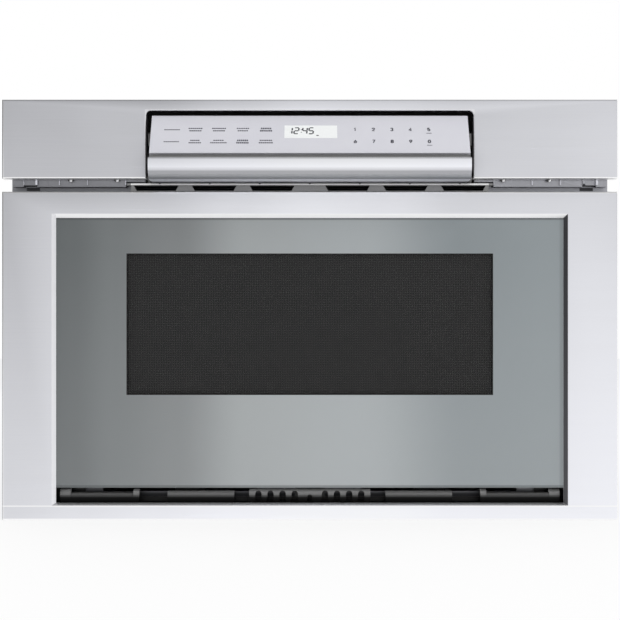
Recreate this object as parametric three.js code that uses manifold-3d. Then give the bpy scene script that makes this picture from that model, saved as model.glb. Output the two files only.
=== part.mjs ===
// A built-in microwave drawer: a fixed oven cavity in a sheet-metal cabinet, with a drawer that
// slides out through it on full-extension slides, driven by a motor through racks and pinions,
// and a control panel that tilts out of a recess above the drawer front.
// Millimetres. X to the right, Y to the back, Z up. The origin is the centre of the underside.
import * as THREE from "three";
import { mergeVertices } from "three/addons/utils/BufferGeometryUtils.js";
import Module from "manifold-3d";

const wasm = await Module();
wasm.setup();

// ---------------------------------------------------------------- driving dimensions
const BODY_WIDTH = 556;
const REAR_BAY = 150; // behind the oven cavity, for the magnetron and the blower
const TOP_BAY = 58; // over the exhaust duct, for the control board
const SHELL_SHEET = 1.2; // cabinet panels
const BASE_SHEET = 1.5;
const BACK_INSET = 2.4; // back panel inside the ends of the base and the top
const GAP = 0.3; // between pieces that are screwed or seated together
const RUNNING_GAP = 0.6; // between pieces that move past each other

const FRONT_WIDTH = 606.4; // fascia and drawer front
const FRONT_DROP = 12.7; // drawer front hangs below the underside
const DOOR_HEIGHT = 323.6;
const DOOR_GAP = 12.8; // between drawer front and fascia
const FASCIA_HEIGHT = 77.9;
const FRONT_STANDOFF = 44; // front plane ahead of the face the flange bears on
const FLANGE_REACH = 21.5; // beyond the body on each side
const CARRIER_MARGIN = 3.5; // fascia carrier inside the flange's sides
const FLANGE_DROP = 8; // below the underside
const FLANGE_RISE = 21; // above the top panel
const FLANGE_HOLE_MARGIN = 8;
const FLANGE_HOLE_RADIUS = 2.2;
const FLANGE_SHEET = 2;
const BORDER_CLEARANCE = 0.6; // flange hem to the top of the body that passes through it
const HEM_CLEARANCE = 1.5; // flange hem to the sides of the body
const FRAME_SHEET = 1.2; // steel of the fascia and the door frame
const FASCIA_DEPTH = 20;

const POD_SIDE_GAP = 5.5; // control panel to the sides of its cut-out
const NOTCH_TOP_MARGIN = 11.1;
const NOTCH_CORNER = 4.5;

const DOOR_DEPTH = 38;
const DOOR_RAIL = 53.7; // side rails of the door frame
const DOOR_TOP_RAIL = 25.7;
const DOOR_BOTTOM_RAIL = 16.9;
const BEVEL = 3.9;
const GLASS_THICK = 4;
const GLASS_LAP = 6; // glass behind the frame on each side
const SLOT_HEIGHT = 14.7; // air slot between glass and bottom rail
const WINDOW_WIDTH = 362;
const WINDOW_HEIGHT = 139.7;
const WINDOW_BOTTOM = 123.1; // above the bottom of the drawer front
const SCREEN_LAP = 4;

const CAVITY_WIDTH = 464;
const CAVITY_FLOOR = 84;
const USABLE_HEIGHT = 183; // shelf to cavity ceiling
const WELL_SIZE = 190;
const WELL_DEPTH = 15.5;
const ANTENNA_SETBACK = 212; // behind the face the flange bears on

const BOX_CLEARANCE = 10; // drawer box to cavity walls
const BOX_WALL = 1.5;
const BOX_WALL_HEIGHT = 147;
const BOX_DEPTH = 427;
const BOX_BACK_GAP = 12.7; // drawer box to the cavity's back wall
const BOX_LIFT = 4; // drawer box above the cavity floor
const BOX_LEDGE = 26;
const SHELF_THICK = 4;

const TRAVEL = 381;
const SLIDE_HEIGHT = 45.7;
const SLIDE_THICK = 13;
const SLIDE_SHEET = 1.5;
const SLIDE_LENGTH = 490;
const SLIDE_Z = 125;
const BALL_TRACK = 3.4; // ball races between slide members
const ARM_SHEET = 2;

const RACK_MODULE = 3;
const RACK_WIDTH = 9.8;
const RACK_BACK = 13; // solid height of the rack behind its teeth
const RACK_TIP_Z = 78;
const PINION_TEETH = 18;
const GEAR_MODULE = 2;
const GEAR_TEETH = 30;
const GEAR_WIDTH = 6;
const MOTOR_PINION_TEETH = 16;
const MOTOR_ANGLE = -0.175; // of the motor below the cross shaft's level, radians
const BACKLASH = 0.45;
const PRESSURE_ANGLE = Math.PI / 9;
const SHAFT_RADIUS = 5;
const SHAFT_SETBACK = 36; // behind the face the flange bears on

const POD_WIDTH = 311;
const POD_PIVOT_SETBACK = 4; // behind the front plane, and above the pod's underside
const POD_OVER_DOOR = 9.4; // underside of the control panel above the drawer front
const POD_PANEL_RISE = 61.5; // pivot to the control face's top edge
const POD_PANEL_LEAN = 2;
const POD_PANEL_REACH = 38; // pivot to the control face's bottom edge
const POD_PANEL_FOOT = 22;
const POD_NOSE_REACH = 54;
const POD_NOSE_TOP = 16.6;
const POD_NOSE_RADIUS = [18, 12]; // of its lower curve, forward and up
const POD_NOSE_EDGE = 1.6; // radius of its top edge
const POD_SKIN = 1.2;
const POD_WALL = 2;
const CONTROL_GLASS = 2.2;
const PIN_RADIUS = 2.2;

// ---------------------------------------------------------------- derived places
const halfBody = BODY_WIDTH / 2;
const halfFlange = halfBody + FLANGE_REACH;
const boxReach = DOOR_DEPTH - FRONT_STANDOFF + GAP + BOX_DEPTH; // of the drawer box into the body
const bodyDepth = boxReach + BOX_BACK_GAP + REAR_BAY;
const bearY = -bodyDepth / 2; // the face of the surrounding cabinet
const backY = bodyDepth / 2;
const frontY = bearY - FRONT_STANDOFF;
const flangeFrontY = bearY - FLANGE_SHEET;
const flangeInnerY = bearY - FLANGE_SHEET + SHELL_SHEET;
const shellFrontY = flangeInnerY + GAP;
const backFaceY = backY - BACK_INSET;
const shellBackY = backFaceY - SHELL_SHEET - GAP;
const shellFloorZ = BASE_SHEET + GAP;
const sideInnerX = halfBody - SHELL_SHEET;

const doorBottomZ = -FRONT_DROP;
const doorTopZ = doorBottomZ + DOOR_HEIGHT;
const doorBackY = frontY + DOOR_DEPTH;
const podBottomZ = doorTopZ + POD_OVER_DOOR;
const recessFloorZ = podBottomZ - FRAME_SHEET - RUNNING_GAP;
const ductTopZ = recessFloorZ - SHELL_SHEET - GAP;
const bodyTopZ = ductTopZ + TOP_BAY;
const shellTopZ = bodyTopZ - SHELL_SHEET - GAP;
const flangeTopZ = bodyTopZ + FLANGE_RISE;
const fasciaBottomZ = doorTopZ + DOOR_GAP;
const fasciaTopZ = fasciaBottomZ + FASCIA_HEIGHT;
const notchTopZ = fasciaTopZ - NOTCH_TOP_MARGIN;
const halfFront = FRONT_WIDTH / 2;
const halfPod = POD_WIDTH / 2;
const halfNotch = halfPod + POD_SIDE_GAP;

const halfCavity = CAVITY_WIDTH / 2;
const shelfZ = CAVITY_FLOOR + BOX_LIFT + BOX_WALL + GAP + SHELF_THICK;
const cavityTopZ = shelfZ + USABLE_HEIGHT;
const cavityBackY = backY - REAR_BAY;
const antennaY = bearY + ANTENNA_SETBACK;
const halfBox = halfCavity - BOX_CLEARANCE;
const boxBottomZ = CAVITY_FLOOR + BOX_LIFT;

const slideOuterX = sideInnerX - GAP;
const slideInnerX = slideOuterX - SLIDE_THICK;
const armInnerX = slideInnerX - GAP - ARM_SHEET;
const rackOuterX = armInnerX - GAP;
const rackInnerX = rackOuterX - RACK_WIDTH;

const pinionRadius = (RACK_MODULE * PINION_TEETH) / 2;
const rackPitchZ = RACK_TIP_Z + RACK_MODULE;
const shaftY = bearY + SHAFT_SETBACK;
const shaftZ = rackPitchZ - pinionRadius;
const gearRadius = (GEAR_MODULE * GEAR_TEETH) / 2;
const motorPinionRadius = (GEAR_MODULE * MOTOR_PINION_TEETH) / 2;
const gearCentres = gearRadius + motorPinionRadius;
const motorY = shaftY + gearCentres * Math.cos(MOTOR_ANGLE);
const motorZ = shaftZ + gearCentres * Math.sin(MOTOR_ANGLE);

const pivotY = frontY + POD_PIVOT_SETBACK;
const pivotZ = podBottomZ + POD_PIVOT_SETBACK;

// ---------------------------------------------------------------- solids
// A closed geometry as a solid that can be cut and joined.
function solid(geometry) {
  const bare = new THREE.BufferGeometry();
  bare.setAttribute("position", geometry.getAttribute("position"));
  if (geometry.index) bare.setIndex(geometry.index);
  const merged = mergeVertices(bare, 1e-4);
  return new wasm.Manifold(
    new wasm.Mesh({
      numProp: 3,
      vertProperties: merged.getAttribute("position").array,
      triVerts: Uint32Array.from(merged.index.array),
    }),
  );
}

// A block between two X, two Y and two Z values.
function block(x, y, z) {
  const box = new THREE.BoxGeometry(x[1] - x[0], y[1] - y[0], z[1] - z[0]);
  box.translate((x[0] + x[1]) / 2, (y[0] + y[1]) / 2, (z[0] + z[1]) / 2);
  return solid(box);
}

// An outline carried along an axis: points are (y, z) along x, (x, z) along y and (x, y) along z.
function prism(axis, outline, from, to, curveSegments = 6) {
  const shape = outline instanceof THREE.Shape ? outline : polygon(outline);
  const body = new THREE.ExtrudeGeometry(shape, {
    depth: to - from,
    bevelEnabled: false,
    steps: 1,
    curveSegments,
  });
  const X = new THREE.Vector3(1, 0, 0);
  const Y = new THREE.Vector3(0, 1, 0);
  const Z = new THREE.Vector3(0, 0, 1);
  const turn = new THREE.Matrix4();
  if (axis === "x") turn.makeBasis(Y, Z, X).setPosition(from, 0, 0);
  if (axis === "y") turn.makeBasis(X, Z, Y.clone().negate()).setPosition(0, to, 0);
  if (axis === "z") turn.setPosition(0, 0, from);
  return solid(body.applyMatrix4(turn));
}

function polygon(points) {
  return new THREE.Shape(points.map(([a, b]) => new THREE.Vector2(a, b)));
}

// A rectangle with rounded corners, as an outline.
function roundedRect(a, b, radius) {
  const shape = new THREE.Shape();
  shape.moveTo(a[0] + radius, b[0]);
  shape.lineTo(a[1] - radius, b[0]);
  shape.absarc(a[1] - radius, b[0] + radius, radius, -Math.PI / 2, 0);
  shape.lineTo(a[1], b[1] - radius);
  shape.absarc(a[1] - radius, b[1] - radius, radius, 0, Math.PI / 2);
  shape.lineTo(a[0] + radius, b[1]);
  shape.absarc(a[0] + radius, b[1] - radius, radius, Math.PI / 2, Math.PI);
  shape.lineTo(a[0], b[0] + radius);
  shape.absarc(a[0] + radius, b[0] + radius, radius, Math.PI, 1.5 * Math.PI);
  return shape;
}

// A round bar along an axis; centre gives the two other coordinates in X, Y, Z order.
function bar(axis, radius, from, to, centre, sides = 20) {
  const body = new THREE.CylinderGeometry(radius, radius, to - from, sides);
  const middle = (from + to) / 2;
  if (axis === "x") body.rotateZ(Math.PI / 2).translate(middle, centre[0], centre[1]);
  if (axis === "y") body.translate(centre[0], middle, centre[1]);
  if (axis === "z") body.rotateX(Math.PI / 2).translate(centre[0], centre[1], middle);
  return solid(body);
}

function join(solids) {
  return solids.reduce((whole, next) => whole.add(next));
}

// The same shape at each place of a row.
function row(count, pitch, make) {
  const first = (-(count - 1) * pitch) / 2;
  return Array.from({ length: count }, (_, i) => make(first + i * pitch, i));
}

function finish(color, roughness, metalness) {
  return { color, roughness, metalness };
}
const BRUSHED = finish(0xd0d2d6, 0.32, 1);
const ZINC = finish(0x9a9da0, 0.5, 0.9);
const BLACK_PLASTIC = finish(0x17181a, 0.45, 0);
const GREY_PLASTIC = finish(0x6f7276, 0.5, 0);
const WHITE_PLASTIC = finish(0xdedcd4, 0.45, 0);
const ENAMEL = finish(0xb9bab6, 0.4, 0.1);
const DARK_STEEL = finish(0x55585c, 0.45, 0.8);

const drawerUnit = new THREE.Group();

// Adds a solid to the object as a named mesh of its own material.
function piece(name, shape, look) {
  const mesh = shape.getMesh();
  const geometry = new THREE.BufferGeometry();
  geometry.setAttribute("position", new THREE.BufferAttribute(mesh.vertProperties, 3));
  geometry.setIndex(new THREE.BufferAttribute(mesh.triVerts, 1));
  const part = new THREE.Mesh(geometry, new THREE.MeshStandardMaterial(look));
  part.name = name;
  drawerUnit.add(part);
  return part;
}

// Adds a piece on the right and its mirror image on the left.
function pair(name, shape, look) {
  const right = piece(name + "_right", shape, look);
  const left = right.clone();
  left.material = right.material.clone();
  left.name = name + "_left";
  left.scale.x = -1;
  drawerUnit.add(left);
}

// ---------------------------------------------------------------- cabinet shell
function basePlate() {
  const plate = block([-halfBody, halfBody], [shellFrontY, backY], [0, BASE_SHEET]);
  const slotLength = 42;
  const slotWidth = 5;
  const slotY = [backY - 90, backY - 90 + slotLength];
  const slots = row(4, 14, (x) => {
    const centre = blowerX + 5 + x;
    const shape = roundedRect([centre - slotWidth / 2, centre + slotWidth / 2], slotY, 2.4);
    return prism("z", shape, -1, BASE_SHEET + 1, 1);
  });
  return plate.subtract(join(slots));
}

function sidePanel() {
  const lipWidth = 14;
  const wall = block([sideInnerX, halfBody], [shellFrontY, shellBackY], [shellFloorZ, shellTopZ]);
  const foot = block([halfBody - lipWidth, halfBody], [shellFrontY + 60, shellBackY],
    [shellFloorZ, shellFloorZ + SHELL_SHEET]);
  const ledge = block([halfBody - lipWidth, halfBody], [shellFrontY + 60, shellBackY],
    [shellTopZ - SHELL_SHEET, shellTopZ]);
  const ventWidth = 5;
  const ventZ = [200, 250];
  const vents = row(4, 20, (y) => {
    const centre = backY - REAR_BAY / 2 - 2 + y;
    const shape = roundedRect([centre - ventWidth / 2, centre + ventWidth / 2], ventZ, 2.4);
    return prism("x", shape, sideInnerX - 1, halfBody + 1, 1);
  });
  return wall.add(foot).add(ledge).subtract(join(vents));
}

// Recess for the control panel: steps down from the fascia's height to the top panel.
const recessHalf = halfNotch + FRAME_SHEET + GAP;
const recessBackY = pivotY + POD_PANEL_RISE + 4;
const recessFrontY = frontY + FASCIA_DEPTH + GAP;
const linerTopZ = notchTopZ + 2;

function topPanel() {
  const plate = block([-halfBody, halfBody], [shellFrontY, backY],
    [bodyTopZ - SHELL_SHEET, bodyTopZ]);
  const notch = recessHalf + SHELL_SHEET + GAP;
  const cut = block([-notch, notch], [shellFrontY - 1, recessBackY + SHELL_SHEET + GAP],
    [bodyTopZ - 5, bodyTopZ + 1]);
  // stiffening beads, pressed in from above
  const sink = 2.2;
  const flat = 5;
  const half = 9;
  const span = [bearY + 112, backY - 62];
  const under = bodyTopZ - SHELL_SHEET;
  const valley = (x) => [[x - half, under], [x - flat, under - sink], [x + flat, under - sink],
    [x + half, under]];
  const bead = (x) => prism("y", [...valley(x), [x + half, bodyTopZ],
    [x + flat, bodyTopZ - sink], [x - flat, bodyTopZ - sink], [x - half, bodyTopZ]], ...span);
  const ends = (x) => join([span[0] - SHELL_SHEET, span[1] - GAP].map((y) =>
    prism("y", valley(x).map(([px, pz]) => [px, pz + 0.1]), y, y + SHELL_SHEET + GAP)));
  const groove = (x) => block([x - half, x + half], span, [bodyTopZ - 5, bodyTopZ + 1]);
  const beads = row(3, 150, (x) => x);
  return beads.reduce((whole, x) => whole.subtract(groove(x)).add(bead(x)).add(ends(x)),
    plate.subtract(cut));
}

// Pressed louvres: each is a slit with a hood that leans inwards under it.
function backPanel() {
  const plate = block([-halfBody, halfBody], [backFaceY - SHELL_SHEET, backFaceY],
    [shellFloorZ, shellTopZ]);
  const length = 70;
  const reach = 5;
  const rise = 9;
  const hood = (x, z) => prism("x", [[backFaceY - SHELL_SHEET, z], [backFaceY - 0.1, z],
    [backFaceY - 0.1, z - 1.2], [backFaceY - reach, z - rise], [backFaceY - reach - SHELL_SHEET, z - rise],
    [backFaceY - SHELL_SHEET, z - 1.6]], x - length / 2, x + length / 2);
  const slit = (x, z) => block([x - length / 2, x + length / 2],
    [backFaceY - SHELL_SHEET - 1, backFaceY + 1], [z - rise, z - 1.2]);
  const places = [-180, 180].flatMap((x) => row(5, 18, (z) => [x, z + 230]));
  let panel = plate;
  for (const [x, z] of places) panel = panel.subtract(slit(x, z)).add(hood(x, z));
  return panel.subtract(bar("y", glandHole, backFaceY - 5, backFaceY + 5, [glandX, glandZ], 16));
}
const glandHole = 9;
const glandX = 215;
const glandZ = 60;

function cordGland() {
  const centre = [glandX, glandZ];
  const rimBack = backFaceY + BACK_INSET - GAP;
  const collar = bar("y", glandHole - GAP, backFaceY - SHELL_SHEET - 8, rimBack, centre, 16);
  const rim = bar("y", glandHole + 3, backFaceY + GAP, rimBack, centre, 16);
  const nut = bar("y", glandHole + 4, backFaceY - SHELL_SHEET - 8, backFaceY - SHELL_SHEET - GAP,
    centre, 6);
  const bore = bar("y", 4.5, backFaceY - 20, backY + 5, centre, 12);
  return join([collar, rim, nut]).subtract(bore);
}

// ---------------------------------------------------------------- front flange and fascia
const slideOpening = [rackInnerX - 2, slideOuterX + GAP];
const flangeWindowTop = recessFloorZ - GAP;
const flangeWindowBottom = doorTopZ - 2;
const ventHalf = 177;

function frontFlange() {
  const width = [-halfFlange, halfFlange];
  const height = [-FLANGE_DROP, flangeTopZ];
  const sheet = block(width, [flangeFrontY, flangeInnerY], height);
  // hemmed at the sides and the top, where it bears on the face of the surrounding cabinet
  const border = block(width, [flangeFrontY, bearY], height).subtract(
    block([-halfBody - HEM_CLEARANCE, halfBody + HEM_CLEARANCE], [flangeFrontY - 1, bearY + 1],
      [-FLANGE_DROP - 1, bodyTopZ + BORDER_CLEARANCE]));
  let plate = sheet.add(border);
  const cut = (x, z) => {
    plate = plate.subtract(block(x, [flangeFrontY - 1, bearY + 1], z));
  };
  cut([-halfCavity, halfCavity], [CAVITY_FLOOR, cavityTopZ]);
  for (const side of [-1, 1]) {
    const span = side < 0 ? slideOpening.map((x) => -x).reverse() : slideOpening;
    cut(span, [RACK_TIP_Z - 3, SLIDE_Z + SLIDE_HEIGHT / 2 + GAP]);
    cut(span.map((x) => x - side * 8), [hookZ - hookHeight / 2 - 2, hookZ + hookHeight / 2 + 2]);
    cut([side * 130 - 78, side * 130 + 78], airwayZ);
  }
  cut([-ventHalf, ventHalf], [flangeWindowBottom, flangeWindowTop]);
  const mouth = recessHalf + SHELL_SHEET + GAP;
  cut([-mouth, mouth], [ductTopZ, bodyTopZ + GAP]);
  const holeX = halfFlange - FLANGE_HOLE_MARGIN;
  for (const x of [-holeX, holeX]) for (const z of [60, bodyTopZ - 45])
    plate = plate.subtract(bar("y", FLANGE_HOLE_RADIUS, flangeFrontY - 1, bearY + 1, [x, z], 6));
  return plate;
}
const airwayZ = [12, 52];
const hookZ = 215;
const hookHeight = 22;

function fascia() {
  const tray = block([-halfFront, halfFront], [frontY, frontY + FASCIA_DEPTH],
    [fasciaBottomZ, fasciaTopZ]);
  const inside = (x0, x1, z0, z1) => block([x0, x1], [frontY + FRAME_SHEET, frontY + 100], [z0, z1]);
  const notch = (grow) => {
    const shape = roundedRect([-halfNotch - grow, halfNotch + grow],
      [fasciaBottomZ - 30, notchTopZ + grow], NOTCH_CORNER + grow);
    return prism("y", shape, frontY - 1, frontY + 100, 4);
  };
  const t = FRAME_SHEET;
  const hollow = inside(-halfFront + t, halfFront - t, fasciaBottomZ + t, fasciaTopZ - t)
    .subtract(notch(t));
  return tray.subtract(hollow).subtract(notch(0));
}

const carrierFrontY = frontY + 22;
const carrierBottomZ = fasciaBottomZ - 6.7;
const carrierTopZ = fasciaTopZ - 5;
const screwPlaces = [191.6, 237.6];

// Folded channel between the flange and the fascia; its lower edge shows over the drawer front.
function fasciaCarrier() {
  const half = halfFlange - CARRIER_MARGIN;
  const t = SHELL_SHEET;
  const backEdge = flangeFrontY - GAP;
  const channel = block([-half, half], [carrierFrontY, backEdge], [carrierBottomZ, carrierTopZ])
    .subtract(block([-half + t, half - t], [carrierFrontY + t, backEdge + 5],
      [carrierBottomZ + t, carrierTopZ - t]));
  const low = ventHalf + 6;
  const high = recessHalf + SHELL_SHEET + GAP;
  let part = channel
    .subtract(block([-low, low], [carrierFrontY - 5, backEdge + 5],
      [carrierBottomZ - 5, carrierBottomZ + 5]))
    .subtract(block([-high, high], [carrierFrontY - 5, carrierFrontY + 5],
      [carrierBottomZ - 5, linerTopZ + t + GAP]));
  for (const side of [-1, 1]) {
    const slot = [half - 24.5, half - 11];
    const x = side < 0 ? [-slot[1], -slot[0]] : slot;
    part = part.subtract(block(x, [carrierFrontY - 5, backEdge - 4],
      [carrierBottomZ - 5, carrierBottomZ + t + GAP]));
    for (const place of screwPlaces)
      part = part.add(bar("y", 4, carrierFrontY - 1.8, carrierFrontY + 1,
        [side * place, fasciaBottomZ + 2.4], 8));
  }
  return part;
}

function recessLiner() {
  const t = SHELL_SHEET;
  const back = recessBackY;
  const outer = recessHalf + t;
  const stepY = flangeFrontY - GAP;
  const tall = block([-outer, outer], [recessFrontY, stepY],
    [recessFloorZ - t, linerTopZ + t]);
  const low = block([-outer, outer], [stepY - t, back + t], [recessFloorZ - t, bodyTopZ]);
  const tallHollow = block([-recessHalf, recessHalf], [recessFrontY - 5, stepY - t],
    [recessFloorZ, linerTopZ]);
  const lowHollow = block([-recessHalf, recessHalf], [stepY - t - 5, back],
    [recessFloorZ, bodyTopZ - t]);
  const gripSlot = block([-outer - 1, outer + 1], [recessFrontY - 1, recessFrontY + 6],
    [recessFloorZ - 5, podBottomZ + 4]);
  return tall.add(low).subtract(tallHollow).subtract(lowHollow).subtract(gripSlot);
}

// Vents under the control panel: six tapered windows in a strip under a lip.
function exhaustTray() {
  const t = SHELL_SHEET;
  const frontFaceY = frontY + 20.5;
  const backEdge = flangeFrontY - GAP;
  const bottom = doorTopZ + 1.3;
  const lipZ = recessFloorZ;
  const lipTop = podBottomZ;
  const walls = block([-VENT_STRIP / 2, VENT_STRIP / 2], [frontFaceY, backEdge], [bottom, lipZ])
    .subtract(block([-VENT_STRIP / 2 + t, VENT_STRIP / 2 - t], [frontFaceY + t, backEdge + 5],
      [bottom + t, lipZ + 5]));
  const lip = prism("z", [[-VENT_STRIP / 2 - 4, frontFaceY - 0.8], [VENT_STRIP / 2 + 4, frontFaceY - 0.8],
    [VENT_STRIP / 2, frontFaceY + 5], [-VENT_STRIP / 2, frontFaceY + 5]], lipZ - 0.2, lipTop);
  let tray = walls.add(lip);
  for (const x of VENT_CENTRES)
    tray = tray.subtract(prism("y", [[x - VENT_WIDTH / 2, lipZ - 0.2], [x + VENT_WIDTH / 2, lipZ - 0.2],
      [x + VENT_WIDTH / 2 - 3, bottom + 0.7], [x - VENT_WIDTH / 2 + 3, bottom + 0.7]],
      frontFaceY - 2, frontFaceY + t + 0.5));
  return tray;
}
const VENT_STRIP = 356;
const VENT_WIDTH = 44.6;
const VENT_CENTRES = [-152.9, -95.2, -37.6, 37.6, 95.2, 152.9];

// Hood over the cavity: narrow at the back, as wide as the vents at the front, open underneath.
function exhaustDuct() {
  const t = 1;
  const front = shellFrontY + 0.5;
  const floor = cavityTopZ + SHELL_SHEET + GAP;
  const taper = [bearY + 82, cavityBackY - 122];
  const end = cavityBackY - 24;
  const plan = (inset) => polygon([[-ventHalf + inset, front - (inset ? 5 : 0)],
    [ventHalf - inset, front - (inset ? 5 : 0)], [ventHalf - inset, taper[0]],
    [ductNeck / 2 - inset, taper[1]], [ductNeck / 2 - inset, end - inset],
    [-ductNeck / 2 + inset, end - inset], [-ductNeck / 2 + inset, taper[1]],
    [-ventHalf + inset, taper[0]]]);
  return prism("z", plan(0), floor, ductTopZ).subtract(prism("z", plan(t), floor - 5, ductTopZ - t));
}
const ductNeck = 130;

// ---------------------------------------------------------------- oven
function ovenCavity() {
  const t = SHELL_SHEET;
  const y = [shellFrontY, cavityBackY];
  const box = block([-halfCavity - t, halfCavity + t], [y[0], y[1] + t],
    [CAVITY_FLOOR - t, cavityTopZ + t])
    .subtract(block([-halfCavity, halfCavity], [y[0] - 5, y[1]], [CAVITY_FLOOR, cavityTopZ]));
  const half = WELL_SIZE / 2;
  const wellY = [antennaY - half, antennaY + half];
  const bottom = CAVITY_FLOOR - WELL_DEPTH;
  const well = prism("z", roundedRect([-half - t, half + t], [wellY[0] - t, wellY[1] + t], 30),
    bottom - t, CAVITY_FLOOR, 2)
    .subtract(prism("z", roundedRect([-half, half], wellY, 29), bottom, CAVITY_FLOOR + 5, 2));
  const opening = prism("z", roundedRect([-half, half], wellY, 29), bottom, CAVITY_FLOOR + 5, 2);
  const coupling = bar("z", 14, bottom - 10, bottom + 10, [0, antennaY], 10);
  const steamHoles = row(5, 16, (x) => bar("z", 5, cavityTopZ - 5, cavityTopZ + 5, [x, steamY], 6));
  const lampHole = bar("x", 12, halfCavity - 5, halfCavity + 5, [lampY, lampZ], 10);
  return box.subtract(opening).add(well).subtract(coupling)
    .subtract(join(steamHoles)).subtract(lampHole);
}
const steamY = cavityBackY - 52;
const lampY = cavityBackY - 122;
const lampZ = cavityTopZ - 31.8;

const guideTopZ = CAVITY_FLOOR - WELL_DEPTH - SHELL_SHEET - GAP;
const guideBottomZ = guideTopZ - 34;
const guideHalf = 45;
const magnetronY = cavityBackY + 50;

// Rectangular tube that carries the microwaves from the magnetron to the antenna.
function waveguide() {
  const t = SHELL_SHEET;
  const y = [antennaY - 60, magnetronY + 45];
  const tube = block([-guideHalf, guideHalf], y, [guideBottomZ, guideTopZ])
    .subtract(block([-guideHalf + t, guideHalf - t], [y[0] + t, y[1] - t],
      [guideBottomZ + t, guideTopZ - t]));
  const shoulder = block([-guideHalf - 12, guideHalf + 12], [antennaY - 60, antennaY + 60],
    [guideTopZ - t, guideTopZ]);
  return tube.add(shoulder)
    .subtract(bar("z", 14, guideTopZ - 5, guideTopZ + 5, [0, antennaY], 12))
    .subtract(bar("z", 5.5, guideBottomZ - 5, guideBottomZ + 5, [0, antennaY], 8))
    .subtract(bar("z", 12, guideTopZ - 5, guideTopZ + 5, [0, magnetronY], 12));
}

// Yoke with the anode and its cooling fins inside, a filter box in front and the mounting plate.
function magnetron() {
  const floor = guideTopZ + GAP;
  const plate = block([-48, 48], [magnetronY - 40, magnetronY + 40], [floor, floor + 2]);
  const yoke = block([-46, 46], [magnetronY - 36, magnetronY + 36], [floor + 2, floor + 74])
    .subtract(block([-50, 50], [magnetronY - 34, magnetronY + 34], [floor + 4, floor + 72]));
  const anode = bar("z", 18, floor + 2, floor + 74, [0, magnetronY], 10);
  const fins = row(4, 10, (z) => block([-42, 42], [magnetronY - 34.5, magnetronY + 34.5],
    [floor + 38 + z - 0.4, floor + 38 + z + 0.4]));
  const magnets = [floor + 4, floor + 64].map((z) => bar("z", 27, z, z + 8, [0, magnetronY], 10));
  const filter = block([-30, 30], [magnetronY - 30, magnetronY + 30], [floor + 73, floor + 108]);
  const plug = block([-14, 14], [magnetronY + 28, magnetronY + 46], [floor + 80, floor + 98]);
  return join([plate, yoke, anode, ...fins, ...magnets, filter, plug]);
}

// Slotted disc on a shaft that turns under the shelf and spreads the microwaves.
const antennaZ = CAVITY_FLOOR - 8;
const antennaMotorTop = guideBottomZ - GAP - 2;
function antenna() {
  const disc = bar("z", 78, antennaZ, antennaZ + 1.2, [0, antennaY], 24);
  const rim = bar("z", 78, antennaZ - 3, antennaZ + 0.2, [0, antennaY], 24)
    .subtract(bar("z", 76.8, antennaZ - 5, antennaZ + 5, [0, antennaY], 24));
  const slots = [0, 1, 2, 3, 4].map((i) => {
    const angle = (i * 2 * Math.PI) / 5;
    const slot = new THREE.BoxGeometry(34, 9, 10);
    slot.translate(48, 0, 0).rotateZ(angle).translate(0, antennaY, antennaZ);
    return solid(slot);
  });
  const shaft = bar("z", 4, antennaMotorTop + GAP, antennaZ + 0.6, [0, antennaY], 8);
  return disc.add(rim).subtract(join(slots)).add(shaft);
}

function antennaMotor() {
  const can = bar("z", 25, antennaMotorTop - 15, antennaMotorTop, [0, antennaY], 20);
  const ears = block([-35, 35], [antennaY - 6, antennaY + 6], [antennaMotorTop - 1, antennaMotorTop]);
  const bosses = [-31, 31].map((x) => bar("z", 4.5, antennaMotorTop - 1, guideBottomZ - GAP,
    [x, antennaY], 8));
  const plug = block([-9, 9], [antennaY - 34, antennaY - 20],
    [antennaMotorTop - 13, antennaMotorTop - 4]);
  return join([can, ears, ...bosses, plug]);
}

// Laminated core with two windings and feet.
function transformer() {
  const x = -190;
  const y = cavityBackY + 73;
  const z = shellFloorZ;
  const core = block([x - 48, x + 48], [y - 40, y + 40], [z + 2, z + 64]);
  const winding = (inner, outer) => prism("z", roundedRect([x - 36, x + 36], [y - outer, y + outer], 12),
    z + inner, z + inner + 24, 2);
  const feet = [-38, 38].map((side) => block([x - 56, x + 56], [y + side - 7, y + side + 7], [z, z + 2.2]));
  return join([core, winding(8, 52), winding(35, 50), ...feet]);
}

function capacitor() {
  const x = 90;
  const y = cavityBackY + 83;
  const z = shellFloorZ;
  const can = prism("z", roundedRect([x - 27, x + 27], [y - 17, y + 17], 16.5), z, z + 58, 2);
  const tabs = [-10, 10].map((dx) => block([x + dx - 3.2, x + dx + 3.2], [y - 0.5, y + 0.5], [z + 57, z + 68]));
  const strap = prism("z", roundedRect([x - 28.5, x + 28.5], [y - 18.5, y + 18.5], 18), z + 20, z + 32, 2);
  const foot = block([x - 42, x - 27], [y - 6, y + 6], [z, z + 1.5]);
  const leg = block([x - 29, x - 27.5], [y - 6, y + 6], [z, z + 26]);
  return join([can, ...tabs, strap, foot, leg]);
}

// ---------------------------------------------------------------- cooling blower
const blowerX = 165;
const blowerZ = 158;
const blowerY = [cavityBackY + 36, cavityBackY + 84];
const wheelRadius = 42;
const BLADES = 20;

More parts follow.
